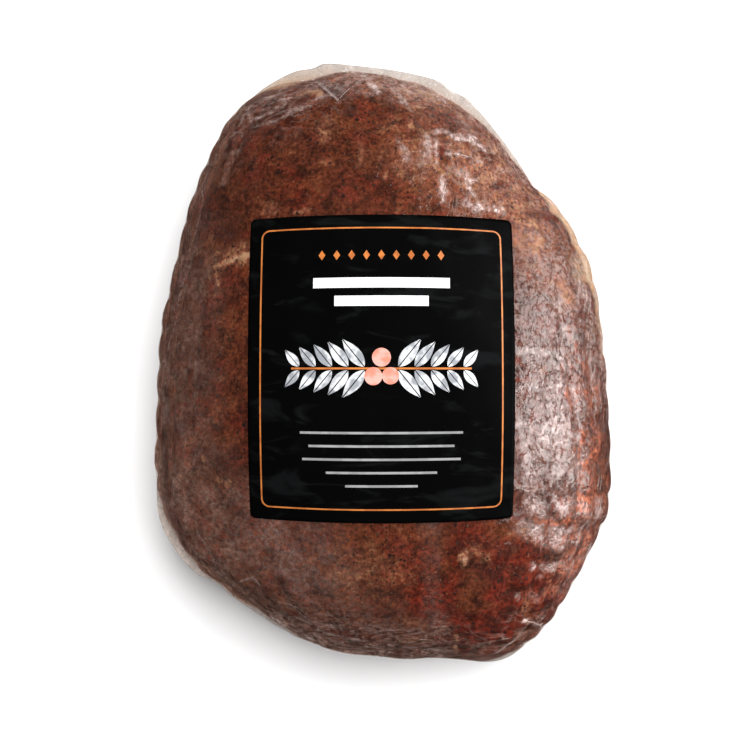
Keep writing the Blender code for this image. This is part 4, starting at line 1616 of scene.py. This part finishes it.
def make_spice(meat):
    """Grains of ground pepper and spice, pressed into the meat."""
    material = ground_spice()
    holder = new_object("holder", meat.data.copy())
    maker = holder.modifiers.new("grains", "NODES")
    maker.node_group = grain_nodes(material)
    smallest, largest = GRAIN_SIZES
    wanted = {"Grains per area": GRAINS_PER_AREA, "Smallest": smallest, "Largest": largest, "Seed": SEED}
    for item in maker.node_group.interface.items_tree:
        if item.in_out == "INPUT" and item.name in wanted:
            maker[item.identifier] = wanted[item.name]
    bpy.context.view_layer.update()
    evaluated = holder.evaluated_get(bpy.context.evaluated_depsgraph_get())
    mesh = bpy.data.meshes.new_from_object(evaluated)
    mesh.name = "spice_grains"
    bpy.data.objects.remove(holder)
    mesh.materials.clear()
    mesh.materials.append(material)
    return new_object("spice_grains", mesh)


# ---------------------------------------------------------------------------------------------
# The label's print
# ---------------------------------------------------------------------------------------------


class Ink:
    """Flat shapes of one ink, drawn in mm round the label's middle, then laid on the label."""

    def __init__(self, name, material):
        self.name, self.material = name, material
        self.points, self.faces = [], []

    def band(self, left, right):
        """A band between two lines with the same number of points."""
        first = len(self.points)
        for a, b in zip(left, right):
            self.points += [a, b]
        for i in range(len(left) - 1):
            k = first + 2 * i
            self.faces.append([k, k + 1, k + 3, k + 2])

    def bar(self, x, y, width, height):
        steps = max(int(width / (PRINT_CELL / MM)), 1)
        across = np.linspace(x - width / 2, x + width / 2, steps + 1)
        for top, bottom in ((height / 2, 0.0), (0.0, -height / 2)):
            self.band([(a, y + top) for a in across], [(a, y + bottom) for a in across])

    def disc(self, x, y, radius):
        turns = np.linspace(0, 2 * pi, BERRY_POINTS, endpoint=False)
        first = len(self.points)
        rim = [(x + radius * np.cos(t), y + radius * np.sin(t)) for t in turns]
        self.points += [(x, y)] + rim
        for i in range(BERRY_POINTS):
            self.faces.append([first, first + 1 + i, first + 1 + (i + 1) % BERRY_POINTS])

    def diamond(self, x, y, width, height):
        first = len(self.points)
        self.points += [(x - width / 2, y), (x, y - height / 2), (x + width / 2, y), (x, y + height / 2)]
        self.faces.append([first, first + 1, first + 2, first + 3])

    def leaf(self, root, tip, width, side):
        """Half of a leaf: the part on one side of its middle rib."""
        root, tip = np.array(root), np.array(tip)
        along = tip - root
        across = np.array((-along[1], along[0])) / np.linalg.norm(along) * width / 2 * side
        share = np.linspace(0, 1, LEAF_POINTS)
        bulge = np.sin(pi * share**0.8) ** 0.9
        rib = [tuple(root + along * t + across * 0.08) for t in share]
        edge = [tuple(root + along * t + across * max(b, 0.09)) for t, b in zip(share, bulge)]
        self.band(rib, edge) if side < 0 else self.band(edge, rib)

    def frame(self, half, corner, width):
        """A line round a rectangle with round corners."""
        inner, outer = [], []
        for middle_x, middle_y, start in ((1, 1, 0), (-1, 1, 90), (-1, -1, 180), (1, -1, 270)):
            centre = np.array((middle_x * (half[0] - corner), middle_y * (half[1] - corner)))
            for turn in np.radians(np.linspace(start, start + 90, CORNER_POINTS)):
                ray = np.array((np.cos(turn), np.sin(turn)))
                outer.append(tuple(centre + ray * corner))
                inner.append(tuple(centre + ray * (corner - width)))
        outer.append(outer[0])
        inner.append(inner[0])
        self.band(*(self.finely(line) for line in (inner, outer)))

    @staticmethod
    def finely(line):
        """The line with points added to its long straight parts, the same number for each line."""
        fine = []
        for number, (a, b) in enumerate(zip(line[:-1], line[1:])):
            parts = STRAIGHT_PARTS if number % CORNER_POINTS == CORNER_POINTS - 1 else 1
            fine += [tuple(np.array(a) + (np.array(b) - np.array(a)) * t / parts) for t in range(parts)]
        return fine + [line[-1]]

    def laid(self, sheet, lift=PRINT_LIFT):
        points = [(x * MM, y * MM, 0.0) for x, y in self.points]
        mesh = mesh_from(self.name, points, self.faces)
        shell = bmesh.new()
        shell.from_mesh(mesh)
        for side in shell.faces:
            side.normal_update()
            if side.normal.z < 0:
                side.normal_flip()
        shell.to_mesh(mesh)
        shell.free()
        sheet.drape(mesh, lift)
        mesh.materials.append(self.material)
        return new_object(self.name, mesh)


def make_print(sheet):
    """A generic design: a thin border, a row of diamonds, plain bars and a sprig with berries."""
    white, copper, silver, salmon, faint = (Ink(name, print_ink(*ink)) for name, ink in INKS.items())
    copper.frame(BORDER_HALF, BORDER_CORNER, BORDER_WIDTH)
    for number in range(DIAMONDS):
        copper.diamond((number - DIAMONDS // 2) * DIAMOND_STEP, DIAMOND_PLACE, *DIAMOND_SIZE)
    for place, width in WHITE_BARS:
        white.bar(0, place, width, WHITE_BAR_HEIGHT)
    copper.bar(0, 0.0, *STEM_SIZE)
    for side in (-1, 1):
        for number in range(LEAF_PAIRS):
            root = side * (LEAF_FIRST + LEAF_STEP * number)
            reach = LEAF_REACH - LEAF_SHORTER * number
            width = LEAF_WIDTH - LEAF_NARROWER * number
            for up in (-1, 1):
                tip = (root + side * reach * LEAF_LEAN, up * reach)
                for half in (1, -1):
                    silver.leaf((root, up * LEAF_OFF_STEM), tip, width, half)
    for berry in BERRIES:
        salmon.disc(*berry)
    for number, width in enumerate(GREY_WIDTHS):
        faint.bar(0, GREY_FIRST - GREY_STEP * number, width, GREY_HEIGHT)
    pieces = [ink.laid(sheet) for ink in (white, copper, silver, faint)]
    return pieces + [salmon.laid(sheet, 2 * PRINT_LIFT)]


# ---------------------------------------------------------------------------------------------
# The studio
# ---------------------------------------------------------------------------------------------


def make_camera():
    data = bpy.data.cameras.new("camera")
    data.sensor_width = SENSOR
    data.lens = SENSOR * (CAMERA_HEIGHT - WIDEST) / FRAME_AT_WIDEST
    camera = bpy.data.objects.new("camera", data)
    camera.location = (*VIEW_MIDDLE, CAMERA_HEIGHT)
    bpy.context.scene.collection.objects.link(camera)
    bpy.context.scene.camera = camera


def make_floor():
    mesh = bpy.data.meshes.new("floor")
    ground = bmesh.new()
    bmesh.ops.create_grid(ground, x_segments=1, y_segments=1, size=FLOOR_HALF)
    ground.to_mesh(mesh)
    ground.free()
    floor = new_object("floor", mesh)
    material, tree = new_material("pale_floor")
    shader = node(tree, "ShaderNodeBsdfDiffuse", Color=FLOOR_COLOUR)
    finish_with(tree, shader.outputs[0])
    mesh.materials.append(material)
    floor.visible_glossy = False


def make_light(name, place, size, power, glossy):
    data = bpy.data.lights.new(name, "AREA")
    data.shape = "RECTANGLE"
    data.size, data.size_y = size
    data.energy = power
    light = bpy.data.objects.new(name, data)
    light.location = place
    light.rotation_euler = (Vector(LIGHT_AIM) - Vector(place)).to_track_quat("-Z", "Y").to_euler()
    light.visible_camera = False
    light.visible_glossy = glossy
    bpy.context.scene.collection.objects.link(light)


def make_world():
    world = bpy.data.worlds.new("studio")
    bpy.context.scene.world = world
    world.use_nodes = True
    tree = world.node_tree
    tree.nodes.clear()
    seen, around, in_gloss = (
        node(tree, "ShaderNodeBackground", Color=colour, Strength=strength)
        for colour, strength in BACKGROUNDS
    )
    path = node(tree, "ShaderNodeLightPath")
    light = mixed(tree, path.outputs["Is Glossy Ray"], around, in_gloss)
    light = mixed(tree, path.outputs["Is Camera Ray"], light, seen)
    node(tree, "ShaderNodeOutputWorld", Surface=light.outputs[0])


def make_studio():
    make_camera()
    make_floor()
    for name, settings in LIGHTS.items():
        make_light(name, *settings)
    make_world()
    scene = bpy.context.scene
    scene.view_settings.view_transform = "Standard"
    scene.view_settings.look = "None"


# ---------------------------------------------------------------------------------------------
# Everything together
# ---------------------------------------------------------------------------------------------

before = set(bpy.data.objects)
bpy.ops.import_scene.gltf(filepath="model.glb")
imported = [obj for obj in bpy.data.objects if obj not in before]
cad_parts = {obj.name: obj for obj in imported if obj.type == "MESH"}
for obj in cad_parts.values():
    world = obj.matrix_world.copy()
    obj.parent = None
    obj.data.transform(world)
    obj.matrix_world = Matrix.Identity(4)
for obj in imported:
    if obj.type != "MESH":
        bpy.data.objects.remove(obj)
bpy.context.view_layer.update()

skin = Skin(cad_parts["sealed_ham"])
make_studio()

meat, meat_reach, meat_place = make_meat(skin)
film = make_film(skin, meat_reach, meat_place)
bpy.context.view_layer.update()
free_edge = make_free_edge(skin, film)
contents = [meat, make_spice(meat)]
bag = [film, free_edge, make_creases(film), make_ear(film)]
sheet = Sheet(film)
paper = [make_label(sheet), *make_print(sheet)]

for pieces, slot, node_name in (
    (contents, "ham_in_clear_film", "sealed_ham"),
    (bag, "clear_film", "sealed_ham"),
    (paper, "black_label", "label"),
):
    for piece in pieces:
        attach(piece, "root")
        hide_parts(node_name)
